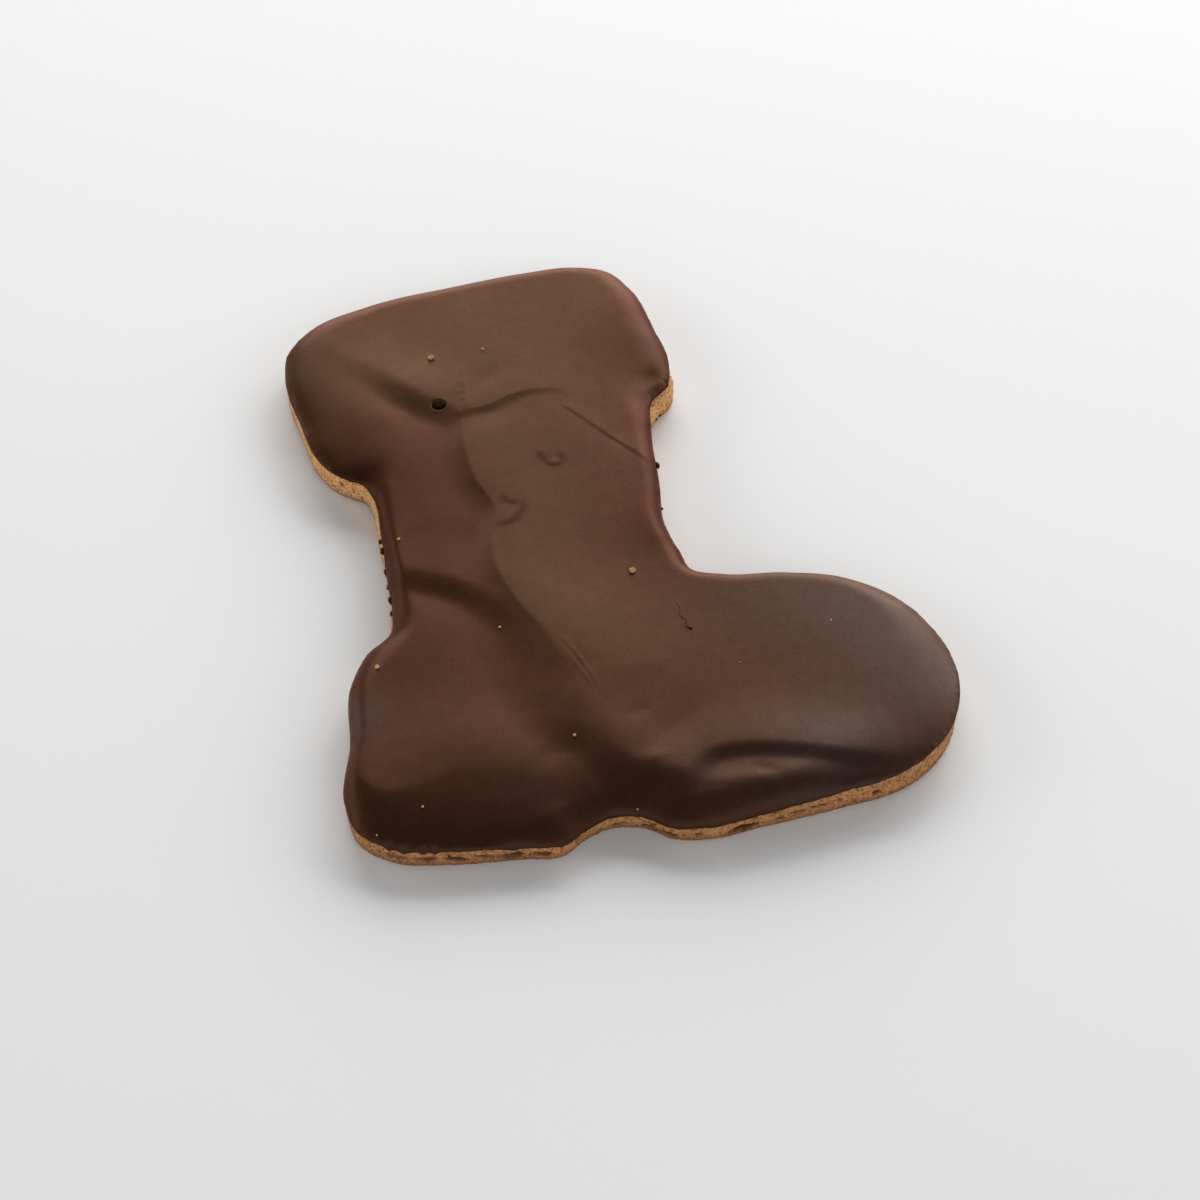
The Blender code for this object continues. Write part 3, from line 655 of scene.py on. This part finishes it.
def add_object(name, mesh):
    """A smooth-shaded object in the scene."""
    mesh.shade_smooth()
    piece = bpy.data.objects.new(name, mesh)
    bpy.context.scene.collection.objects.link(piece)
    return piece


def lofted(name, rings, low_points, high_points):
    """A closed mesh: a stack of rings, with a fill across the first and across the last."""
    size = len(rings[0])
    points = np.vstack([*rings, low_points, high_points]) * MM
    faces = tube_faces(len(rings), size)
    last = (len(rings) - 1) * size
    low_start = len(rings) * size
    high_start = low_start + len(low_points)
    for face in fill(rings[0], low_points):
        corners = [c if c < size else low_start + c - size for c in face]
        faces.append(tuple(reversed(corners)))
    for face in fill(rings[-1], high_points):
        faces.append(tuple(last + c if c < size else high_start + c - size for c in face))
    mesh = bpy.data.meshes.new(name)
    mesh.from_pydata(points.tolist(), [], faces)
    mesh.validate()
    return add_object(name, mesh)


def store(piece, name, values):
    """Keeps a number from 0 to 1 for each point of the mesh, for its material to read."""
    layer = piece.data.attributes.new(name, "FLOAT", "POINT")
    layer.data.foreach_set("value", np.clip(values, 0, 1).astype(np.float32))


def mesh_points(piece):
    """The piece's points in millimetres."""
    flat = np.empty(len(piece.data.vertices) * 3, np.float32)
    piece.data.vertices.foreach_get("co", flat)
    return flat.reshape(-1, 3).astype(float) / MM


# ---------------------------------------------------------------- materials


def new_material(name):
    """A material and its shader, with the object's own coordinates for its textures."""
    material = bpy.data.materials.new(name)
    material.use_nodes = True
    tree = material.node_tree
    place = tree.nodes.new("ShaderNodeTexCoord").outputs["Object"]
    return material, tree, tree.nodes["Principled BSDF"], place


def set_input(tree, socket, value):
    """Links a socket to another, or gives it a plain value."""
    if isinstance(value, bpy.types.NodeSocket):
        tree.links.new(value, socket)
    elif isinstance(value, tuple):
        socket.default_value = (*value, 1.0)
    else:
        socket.default_value = value


def texture_noise(tree, place, size, detail, roughness):
    """Noise whose patches are about the given size in millimetres."""
    node = tree.nodes.new("ShaderNodeTexNoise")
    tree.links.new(place, node.inputs["Vector"])
    node.inputs["Scale"].default_value = 1 / (size * MM)
    node.inputs["Detail"].default_value = detail
    node.inputs["Roughness"].default_value = roughness
    return node.outputs["Fac"]


def ranged(tree, value, low, high, to_low, to_high):
    """The value stretched from one range to another, and kept within it."""
    node = tree.nodes.new("ShaderNodeMapRange")
    set_input(tree, node.inputs["Value"], value)
    node.inputs["From Min"].default_value = low
    node.inputs["From Max"].default_value = high
    node.inputs["To Min"].default_value = to_low
    node.inputs["To Max"].default_value = to_high
    return node.outputs["Result"]


def patchy(tree, place, size, detail, roughness, low, high):
    """A number that wanders between low and high, in patches of about the given size in millimetres."""
    return ranged(tree, texture_noise(tree, place, size, detail, roughness), 0.3, 0.7, low, high)


def mixed(tree, share, first, second, blend="MIX"):
    """Two colours mixed by the share."""
    node = tree.nodes.new("ShaderNodeMix")
    node.data_type = "RGBA"
    node.blend_type = blend
    set_input(tree, node.inputs["Factor"], share)
    colours = [socket for socket in node.inputs if socket.type == "RGBA"]
    set_input(tree, colours[0], first)
    set_input(tree, colours[1], second)
    return next(socket for socket in node.outputs if socket.type == "RGBA")


def stored(tree, name):
    """A number kept on the mesh by store()."""
    node = tree.nodes.new("ShaderNodeAttribute")
    node.attribute_name = name
    return node.outputs["Fac"]


def bumped(tree, shader, height, depth):
    """Fine relief of the given depth in millimetres."""
    node = tree.nodes.new("ShaderNodeBump")
    node.inputs["Strength"].default_value = 1.0
    node.inputs["Distance"].default_value = depth * MM
    tree.links.new(height, node.inputs["Height"])
    tree.links.new(node.outputs["Normal"], shader.inputs["Normal"])


def grey_product(tree, first, second):
    """A grey as bright as the product of two numbers."""
    product = tree.nodes.new("ShaderNodeMath")
    product.operation = "MULTIPLY"
    tree.links.new(first, product.inputs[0])
    tree.links.new(second, product.inputs[1])
    grey = tree.nodes.new("ShaderNodeCombineColor")
    for socket in grey.inputs[:3]:
        tree.links.new(product.outputs[0], socket)
    return grey.outputs[0]


def cocoa_tint(tree, place):
    """Tint of the chocolate's gloss: richer with painted shade, whiter with painted sheen and darker with
    painted shade along the bubbles in places, with a fine cloud over it.
    """
    # painted shade where the chocolate is richest, then painted sheen
    tint = mixed(tree, stored(tree, "rich_and_shade"), COCOA_TINT, RICH_SHADE_TINT)
    tint = mixed(tree, stored(tree, "painted_sheen"), tint, SHEEN_TINT)
    # painted shade along the burst bubbles' dents
    tint = mixed(tree, stored(tree, "mark"), tint, BUBBLE_SHADE_TINT)
    cloud = patchy(tree, place, 2.2, 3.0, 0.6, 0.9, 1.0)
    speck = patchy(tree, place, 0.45, 3.0, 0.65, 0.82, 1.0)
    return mixed(tree, 1.0, tint, grey_product(tree, cloud, speck), "MULTIPLY")


def chocolate_material(name, red_brown, olive_brown):
    """Satin dark chocolate: two pours of slightly different brown, with a faint mottle."""
    material, tree, shader, place = new_material(name)
    pours = mixed(tree, stored(tree, "olive"), red_brown, olive_brown)
    mottle = patchy(tree, place, 6.0, 4.0, 0.6, 0.88, 1.1)
    fleck = patchy(tree, place, 0.5, 3.0, 0.7, 0.93, 1.06)
    shade = grey_product(tree, mottle, fleck)
    tree.links.new(mixed(tree, 1.0, pours, shade, "MULTIPLY"), shader.inputs["Base Color"])
    polish = patchy(tree, place, 3.0, 4.0, 0.6, CHOCOLATE_ROUGHNESS - 0.04, CHOCOLATE_ROUGHNESS + 0.05)
    tree.links.new(polish, shader.inputs["Roughness"])
    shader.inputs["Specular IOR Level"].default_value = CHOCOLATE_GLOSS
    shader.inputs["Coat Weight"].default_value = 1.0
    shader.inputs["Coat IOR"].default_value = COCOA_IOR
    shader.inputs["Coat Roughness"].default_value = COCOA_ROUGHNESS
    tree.links.new(cocoa_tint(tree, place), shader.inputs["Coat Tint"])
    bumped(tree, shader, texture_noise(tree, place, 0.45, 4.0, 0.65), 0.016)
    return material


def crumb_material(name, sole_shading):
    """Sandy baked biscuit: painted shade in its hollows and on the sole's side, darker towards its foot, with
    chocolate rubbed on in places.
    """
    material, tree, shader, place = new_material(name)
    patches = patchy(tree, place, 2.6, 3.0, 0.6, 0.0, 1.0)
    grains = ranged(tree, texture_noise(tree, place, 0.4, 3.0, 0.7), 0.32, 0.68, 0.0, 1.0)
    colour = mixed(tree, patches, CRUMB_DARK, CRUMB_LIGHT)
    colour = mixed(tree, ranged(tree, grains, 0.2, 1.0, 0.0, 0.85), colour, CRUMB_PALE)
    colour = mixed(tree, ranged(tree, grains, 0.0, 0.35, 0.7, 0.0), colour, CRUMB_SPECK_AND_SHADE)
    parts = tree.nodes.new("ShaderNodeSeparateXYZ")
    tree.links.new(place, parts.inputs[0])
    # darker towards the foot
    foot = ranged(tree, parts.outputs["Z"], 0.2 * MM, 1.6 * MM, 0.85, 0.0)
    colour = mixed(tree, foot, colour, FOOT_BROWN)
    # painted shade on the sole's side of the wall
    sole = ranged(tree, parts.outputs["Y"], 0.0, -50.0 * MM, 0.0, sole_shading)
    colour = mixed(tree, sole, colour, mixed(tree, 1.0, colour, SOLE_SHADE_TINT, "MULTIPLY"))
    # painted shade in the hollows, by their depth
    colour = mixed(tree, ranged(tree, stored(tree, "hollow"), 0.25, 0.9, 0.0, 0.95), colour, CRUMB_SPECK_AND_SHADE)
    colour = mixed(tree, ranged(tree, stored(tree, "smear"), 0.0, 1.0, 0.0, 0.8), colour, SMEAR_BROWN)
    tree.links.new(colour, shader.inputs["Base Color"])
    tree.links.new(ranged(tree, grains, 0.0, 1.0, 0.92, 0.78), shader.inputs["Roughness"])
    shader.inputs["Specular IOR Level"].default_value = 0.3
    bumped(tree, shader, texture_noise(tree, place, 0.22, 4.0, 0.7), 0.09)
    return material


def plain_material(name, colour, roughness):
    """A plain surface for the studio's floor."""
    material, _, shader, _ = new_material(name)
    shader.inputs["Base Color"].default_value = (*colour, 1.0)
    shader.inputs["Roughness"].default_value = roughness
    return material


# ---------------------------------------------------------------- pieces


def near_place(points, outline, x, y):
    """Distance of each point along the wall from the wall's nearest place to x, y."""
    tangent = directions(outline, closed=True)
    nearest = far_from(outline, x, y).argmin()
    apart = points[:, :2] - outline[nearest, :2]
    run = apart @ tangent[nearest]
    return np.where(np.linalg.norm(apart, axis=1) > WALL_REACH, FAR_AWAY, run)


def wall_reach(points, outline, place):
    """How far each point is from the middle of an oval mark on the wall: 1 at the mark's rim."""
    x, y, z, length, height = place
    run = near_place(points, outline, x, y)
    return np.sqrt((2 * run / length) ** 2 + (2 * (points[:, 2] - z) / height) ** 2)


def lip_drops(outline):
    """How far the runs of chocolate pull the lip down, all round the outline."""
    drop = np.zeros(len(outline))
    for x, y, half_width, depth in DRIPS:
        run = near_place(outline, outline, x, y)
        drop += depth * np.exp(-((run / half_width) ** 2))
    return drop


def wall_pits(points, outline):
    """Depth of the cavities at each point of the wall."""
    ragged = 0.35 * grain(points, 0.5, 5)
    depth = np.zeros(len(points))
    for *place, deep in WALL_PITS:
        reach = wall_reach(points, outline, place)
        depth = np.maximum(depth, deep * smooth((1.15 + ragged - reach) / 0.6))
    return depth


def wall_smears(points, outline):
    """How much chocolate is rubbed on each point of the wall, from 0 to 1."""
    ragged = 0.6 * grain(points, 0.7, 9)
    amount = np.zeros(len(points))
    for place in WALL_SMEARS:
        reach = wall_reach(points, outline, place)
        amount = np.maximum(amount, smooth((1.1 + ragged - reach) / 0.5))
    return amount


def crumb_depth(points):
    """Sandy unevenness of broken crumb: grains that stand out and small holes between them."""
    stretched = points * CRUMB_STRETCH
    grains = sum(height * grain(stretched, size, seed) for size, seed, height in CRUMB_GRAINS)
    holes = smooth((grain(stretched, CRUMB_HOLE_SIZE, CRUMB_HOLE_SEED) - 0.32) / 0.25)
    return grains - CRUMB_HOLE_DEPTH * holes


def bare_edge(outline):
    """How far the biscuit's wall stands out past its usual line, all round the outline."""
    out = np.zeros(len(outline))
    for x, y, half_length, width in BARE_EDGES:
        out += width * np.exp(-((far_from(outline, x, y) / half_length) ** 4))
    return out


def wall_rings(outline):
    """Points of the biscuit's foot and wall, ring by ring, and how rough each is, from 0 to 1."""
    lip = outline[:, 2]
    out = bare_edge(outline)
    rings = []
    strength = []
    for turn in np.linspace(0, math.pi / 2, FOOT_STEPS + 1):
        inset = FOOT_INSET - (FOOT_INSET - WALL_INSET) * math.sin(turn)
        rings.append(ring(outline, inset - out, FOOT_ROUND * (1 - math.cos(turn))))
        strength.append(math.sin(turn))
    for share in np.linspace(0, 1, WALL_STEPS + 1)[1:]:
        rings.append(ring(outline, WALL_INSET - out, FOOT_ROUND + (lip - LEDGE_DROP - FOOT_ROUND) * share))
        strength.append(1.0)
    return np.vstack(rings), np.repeat(strength, len(outline))


def roughened(wall, force, outline):
    """The wall with its grains, holes and cavities, and the depth of the hollow at each point."""
    tangent = directions(outline, closed=True)
    outward = np.column_stack([tangent[:, 1], -tangent[:, 0]])
    pits = wall_pits(wall, outline)
    crumb = crumb_depth(wall)
    shift = force * (np.clip(crumb, -CRUMB_DIP, CRUMB_RISE) - pits)
    rough = wall.copy()
    rough[:, :2] += np.tile(outward, (len(wall) // len(outline), 1)) * shift[:, None]
    return rough, force * (pits + np.clip(-crumb, 0, CRUMB_DIP))


def build_biscuit(outline):
    """The biscuit: flat underside, rounded foot, and a bare sandy wall up to the chocolate."""
    wall, hollow = roughened(*wall_rings(outline), outline)
    size = len(outline)
    rings = [wall[start:start + size] for start in range(0, len(wall), size)]
    for inset in BISCUIT_RINGS:
        rings.append(ring(outline, inset, biscuit_top(inset, outline[:, 2], outline[:, 3])))
    points, *fields = grid_points(outline, HIDDEN_GRID, ())
    top = np.column_stack([points, biscuit_top(*fields)])
    piece = lofted("biscuit_crumb", rings, np.empty((0, 3)), top)
    covered = np.zeros(len(mesh_points(piece)) - len(wall))
    # depth of each hollow, for painted shade
    store(piece, "hollow", np.concatenate([hollow, covered]) / HOLLOW_SHADE_FULL)
    store(piece, "smear", np.concatenate([wall_smears(wall, outline), covered]))
    piece.data.materials.append(crumb_material("baked_crumb", 1.0))
    return piece


def top_height(points, outline):
    """Height of the finished chocolate at each point."""
    distance, lip, roll = edge_fields(points, outline)
    return coat_top(points, distance, lip + LIP_EDGE, roll)


def olive_share(points):
    """How far each point belongs to the greyer second pour and cuff, from 0 to 1."""
    offset = along(points, spline(SECOND_POUR, LINE_STEPS, closed=False))[0]
    tongue = smooth((offset + 0.5) / 0.5) * smooth((24 - offset) / 20) * smooth((points[:, 1] + 46) / 26)
    cuff = smooth((points[:, 1] - 24) / 8)
    return np.maximum(tongue, cuff)


def shade_and_sheen(points):
    """From 1 where the chocolate is richest and darkened by painted shade to -1 where a painted sheen whitens
    it.
    """
    rich_and_shade = np.zeros(len(points))
    for x, y, half_width, amount in SHADE_AND_SHEEN_PATCHES:
        rich_and_shade += amount * np.exp(-((far_from(points, x, y) / half_width) ** 2))
    return np.clip(rich_and_shade, -1, 1)


def bubble_shading(points):
    """How much painted shade darkens each point along the burst bubbles' dents, from 0 to 1."""
    near = np.zeros(len(points))
    for mark in BUBBLE_BANKS:
        for x, y in spline(mark[-1], LINE_STEPS, closed=False)[:, :2]:
            near = np.maximum(near, np.exp(-((far_from(points, x, y) / BUBBLE_SHADE_WIDTH) ** 2)))
    return BUBBLE_SHADE * near


def coat_rings(outline):
    """Rings of the chocolate, from its underside out to the uneven lip and back over its top."""
    lip = outline[:, 2]
    roll = outline[:, 3]
    step = steps_along(outline)
    share = (np.cumsum(step) - step) / step.sum()
    uneven = waves(share, LIP_WAVES, WAVE_SEED + 1) - lip_drops(outline)
    edge = np.maximum(lip + uneven, 0.5)
    rings = []
    for inset in UNDER_RINGS:
        rings.append(ring(outline, inset, biscuit_top(inset, lip, roll) + COAT_CLEARANCE))
    rings.append(ring(outline, 0.4, lip))
    rings.append(ring(outline, 0.12, edge + 0.05))
    rings.append(ring(outline, 0.0, edge - 0.02))
    for inset in COAT_RINGS:
        flat = ring(outline, inset, 0.0)
        reach = math.exp(-(((inset + COAT_OVERHANG) / LIP_REACH) ** 2))
        flat[:, 2] = coat_top(flat, inset, lip + LIP_EDGE, roll) + reach * (edge - lip)
        rings.append(flat)
    return rings


def blister_points(outline):
    """Points of the large burst bubble, in rings round its middle."""
    x, y, radius, _ = BLISTER
    around = np.linspace(0, 2 * math.pi, BLISTER_SIDES, endpoint=False)
    hole = [(x, y)]
    for size in BLISTER_RINGS:
        hole += [(x + size * radius * math.cos(turn), y + size * radius * math.sin(turn)) for turn in around]
    hole = np.array(hole)
    return np.column_stack([hole, top_height(hole, outline)])


def coat_points(outline):
    """Points of the chocolate's top within its rings: closer along the crisp marks, none in the bubble."""
    marks = FINE_RIDGES + FINE_BANKS + CRISP_BANKS
    crisp = [spline(mark[-1], LINE_STEPS, closed=False) for mark in marks]
    fields = grid_points(outline, TOP_GRID, crisp)
    x, y, radius, _ = BLISTER
    clear = far_from(fields[0], x, y) > BLISTER_RINGS[-1] * radius + 0.1
    points, distance, lip, roll = (values[clear] for values in fields)
    return np.column_stack([points, coat_top(points, distance, lip + LIP_EDGE, roll)])


def build_coat(outline):
    """The chocolate: it lies on the biscuit's rounded top and ends in a thin uneven lip on its wall."""
    points, *fields = grid_points(outline, HIDDEN_GRID, ())
    under = np.column_stack([points, biscuit_top(*fields) + COAT_CLEARANCE])
    top = np.vstack([coat_points(outline), blister_points(outline)])
    piece = lofted("chocolate_pour", coat_rings(outline), under, top)
    places = mesh_points(piece)
    # painted shade, with a richer, redder chocolate, where positive, and painted sheen where negative
    rich_and_shade = shade_and_sheen(places)
    store(piece, "olive", olive_share(places))
    store(piece, "rich_and_shade", rich_and_shade)
    store(piece, "painted_sheen", -rich_and_shade)
    # painted shade along the burst bubbles' dents
    store(piece, "mark", bubble_shading(places))
    piece.data.materials.append(chocolate_material("dark_chocolate", RED_BROWN, OLIVE_BROWN))
    return piece


def lumps(name, places, shape, seed):
    """Small rough lumps, as one mesh of separate closed bodies."""
    stretch = Vector(shape)
    whole = bmesh.new()
    for number, (x, y, z, radius) in enumerate(places):
        made = bmesh.ops.create_icosphere(whole, subdivisions=3, radius=1.0)
        shift = Vector((number * 5.3, seed * 2.9, 0))
        for vertex in made["verts"]:
            bulge = 1 + 0.5 * noise.noise(vertex.co * 1.6 + shift) + 0.25 * noise.noise(vertex.co * 4 + shift)
            vertex.co = (Vector((x, y, z)) + vertex.co * stretch * bulge * radius) * MM
    mesh = bpy.data.meshes.new(name)
    whole.to_mesh(mesh)
    whole.free()
    return add_object(name, mesh)


def build_nibs():
    """Small lumps of chocolate on the lip and the wall."""
    piece = lumps("chocolate_nibs", NIBS, NIB_SHAPE, 1)
    piece.data.materials.append(chocolate_material("nib_chocolate", RED_BROWN, OLIVE_BROWN))
    return piece


def build_crumbs(outline):
    """Loose biscuit crumbs, sunk a little into the chocolate."""
    flat = np.array(CRUMBS)
    heights = top_height(flat, outline)
    places = [(x, y, z + CRUMB_LIFT * radius, radius) for (x, y, radius), z in zip(CRUMBS, heights)]
    piece = lumps("biscuit_crumbs", places, CRUMB_SHAPE, 2)
    piece.data.materials.append(crumb_material("loose_crumb", 0.0))
    return piece


def hair_points(outline):
    """Rings of points round the hair, which is thicker at its lower end."""
    line = spline(HAIR_KNOTS, HAIR_STEPS, closed=False)
    heights = top_height(line, outline)
    share = np.linspace(0, 1, len(line))
    radius = HAIR_RADIUS * (0.45 + 0.55 * share) * np.where(share > 0.86, 1.9, 1.0)
    radius[[0, -1]] *= 0.2
    tangent = directions(line, closed=False)
    around = np.linspace(0, 2 * math.pi, HAIR_SIDES, endpoint=False)
    points = []
    for (x, y), (run_x, run_y), z, size in zip(line, tangent, heights, radius):
        for turn in around:
            out = size * math.cos(turn)
            points.append((x - run_y * out, y + run_x * out, z + size * math.sin(turn)))
    return np.array(points)


def build_hair(outline):
    """A thin hair of chocolate that lies on the coat."""
    points = hair_points(outline)
    faces = tube_faces(len(points) // HAIR_SIDES, HAIR_SIDES)
    faces.append(tuple(reversed(range(HAIR_SIDES))))
    faces.append(tuple(range(len(points) - HAIR_SIDES, len(points))))
    mesh = bpy.data.meshes.new("chocolate_hair")
    mesh.from_pydata((points * MM).tolist(), [], faces)
    mesh.validate()
    piece = add_object("chocolate_hair", mesh)
    piece.data.materials.append(chocolate_material("hair_chocolate", HAIR_BROWN, HAIR_BROWN))
    return piece


# ---------------------------------------------------------------- setting


CAMERA_AZIMUTH = -12.0
CAMERA_ELEVATION = 41.83
CAMERA_DISTANCE = 0.4183
CAMERA_LENS = 90.0
CAMERA_AIM = (-0.00112, -0.01198, 0.0)
# Softboxes: name, azimuth (0 behind, 90 to the left), elevation, distance and size in metres, brightness.
WINDOWS = (
    ("back_window", -11, 20, 2.0, (1.6, 1.3), 5.8),
    ("back_right_window", -46, 22, 2.0, (1.2, 1.1), 5.2),
    ("right_window", -84, 18, 2.0, (1.4, 1.0), 1.2),
    ("left_window", 60, 14, 2.0, (2.4, 0.8), 3.2),
    ("front_fill", 180, 22, 2.0, (2.8, 1.5), 1.65),
    ("left_front_fill", 118, 15, 2.0, (2.6, 1.0), 1.2),
    ("right_front_fill", 248, 15, 2.0, (2.6, 1.0), 1.2),
)
AMBIENT = 0.04
FLOOR_HALF = 2.0            # metres
FLOOR_GREY = (0.85, 0.85, 0.85)
FLOOR_ROUGHNESS = 0.6


def heading(azimuth, elevation):
    """Unit vector at an azimuth, 0 behind and 90 to the left, and an elevation, both in degrees."""
    azimuth = math.radians(azimuth)
    elevation = math.radians(elevation)
    return Vector(
        (
            -math.sin(azimuth) * math.cos(elevation),
            math.cos(azimuth) * math.cos(elevation),
            math.sin(elevation),
        )
    )


def add_camera():
    """The camera looks down at the cookie from in front of its sole."""
    look = heading(CAMERA_AZIMUTH, -CAMERA_ELEVATION)
    camera = bpy.data.objects.new("camera", bpy.data.cameras.new("camera"))
    camera.data.lens = CAMERA_LENS
    camera.data.clip_start = 0.01
    camera.location = Vector(CAMERA_AIM) - CAMERA_DISTANCE * look
    camera.rotation_euler = look.to_track_quat("-Z", "Y").to_euler()
    bpy.context.scene.collection.objects.link(camera)
    bpy.context.scene.camera = camera


def add_softbox(name, azimuth, elevation, distance, size, brightness):
    """A rectangular light that faces the cookie."""
    place = distance * heading(azimuth, elevation)
    light = bpy.data.objects.new(name, bpy.data.lights.new(name, "AREA"))
    light.data.shape = "RECTANGLE"
    light.data.size = size[0]
    light.data.size_y = size[1]
    light.data.energy = math.pi * size[0] * size[1] * brightness
    light.location = place
    light.rotation_euler = (-place).to_track_quat("-Z", "Y").to_euler()
    bpy.context.scene.collection.objects.link(light)


def add_world(strength):
    """Faint even light from all round."""
    world = bpy.data.worlds.new("studio")
    world.use_nodes = True
    world.node_tree.nodes["Background"].inputs["Color"].default_value = (1, 1, 1, 1)
    world.node_tree.nodes["Background"].inputs["Strength"].default_value = strength
    bpy.context.scene.world = world


def add_floor():
    """A pale studio floor, which isn't part of the object."""
    mesh = bpy.data.meshes.new("floor")
    half = FLOOR_HALF
    corners = [(-half, -half, 0), (half, -half, 0), (half, half, 0), (-half, half, 0)]
    mesh.from_pydata(corners, [], [(0, 1, 2, 3)])
    floor = bpy.data.objects.new("floor", mesh)
    bpy.context.scene.collection.objects.link(floor)
    mesh.materials.append(plain_material("floor", FLOOR_GREY, FLOOR_ROUGHNESS))


def add_setting():
    """Camera, lights and floor."""
    bpy.context.scene.view_settings.view_transform = "Standard"
    add_camera()
    add_world(AMBIENT)
    for window in WINDOWS:
        add_softbox(*window)
    add_floor()


def main():
    add_setting()
    outline = spline(CUTTER_KNOTS, EDGE_STEPS, closed=True)
    centre = (outline[:, :2].min(axis=0) + outline[:, :2].max(axis=0)) / 2
    biscuit = build_biscuit(outline)
    coat = build_coat(outline)
    slots = (
        (biscuit, "gingerbread"),
        (coat, "chocolate"),
        (build_nibs(), "chocolate"),
        (build_hair(outline), "chocolate"),
        (build_crumbs(outline), "gingerbread"),
    )
    for piece, slot in slots:
        piece.location = (-centre[0] * MM, -centre[1] * MM, 0.0)
        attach(piece, "root")
    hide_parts("gingerbread")
    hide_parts("chocolate_coat")


main()
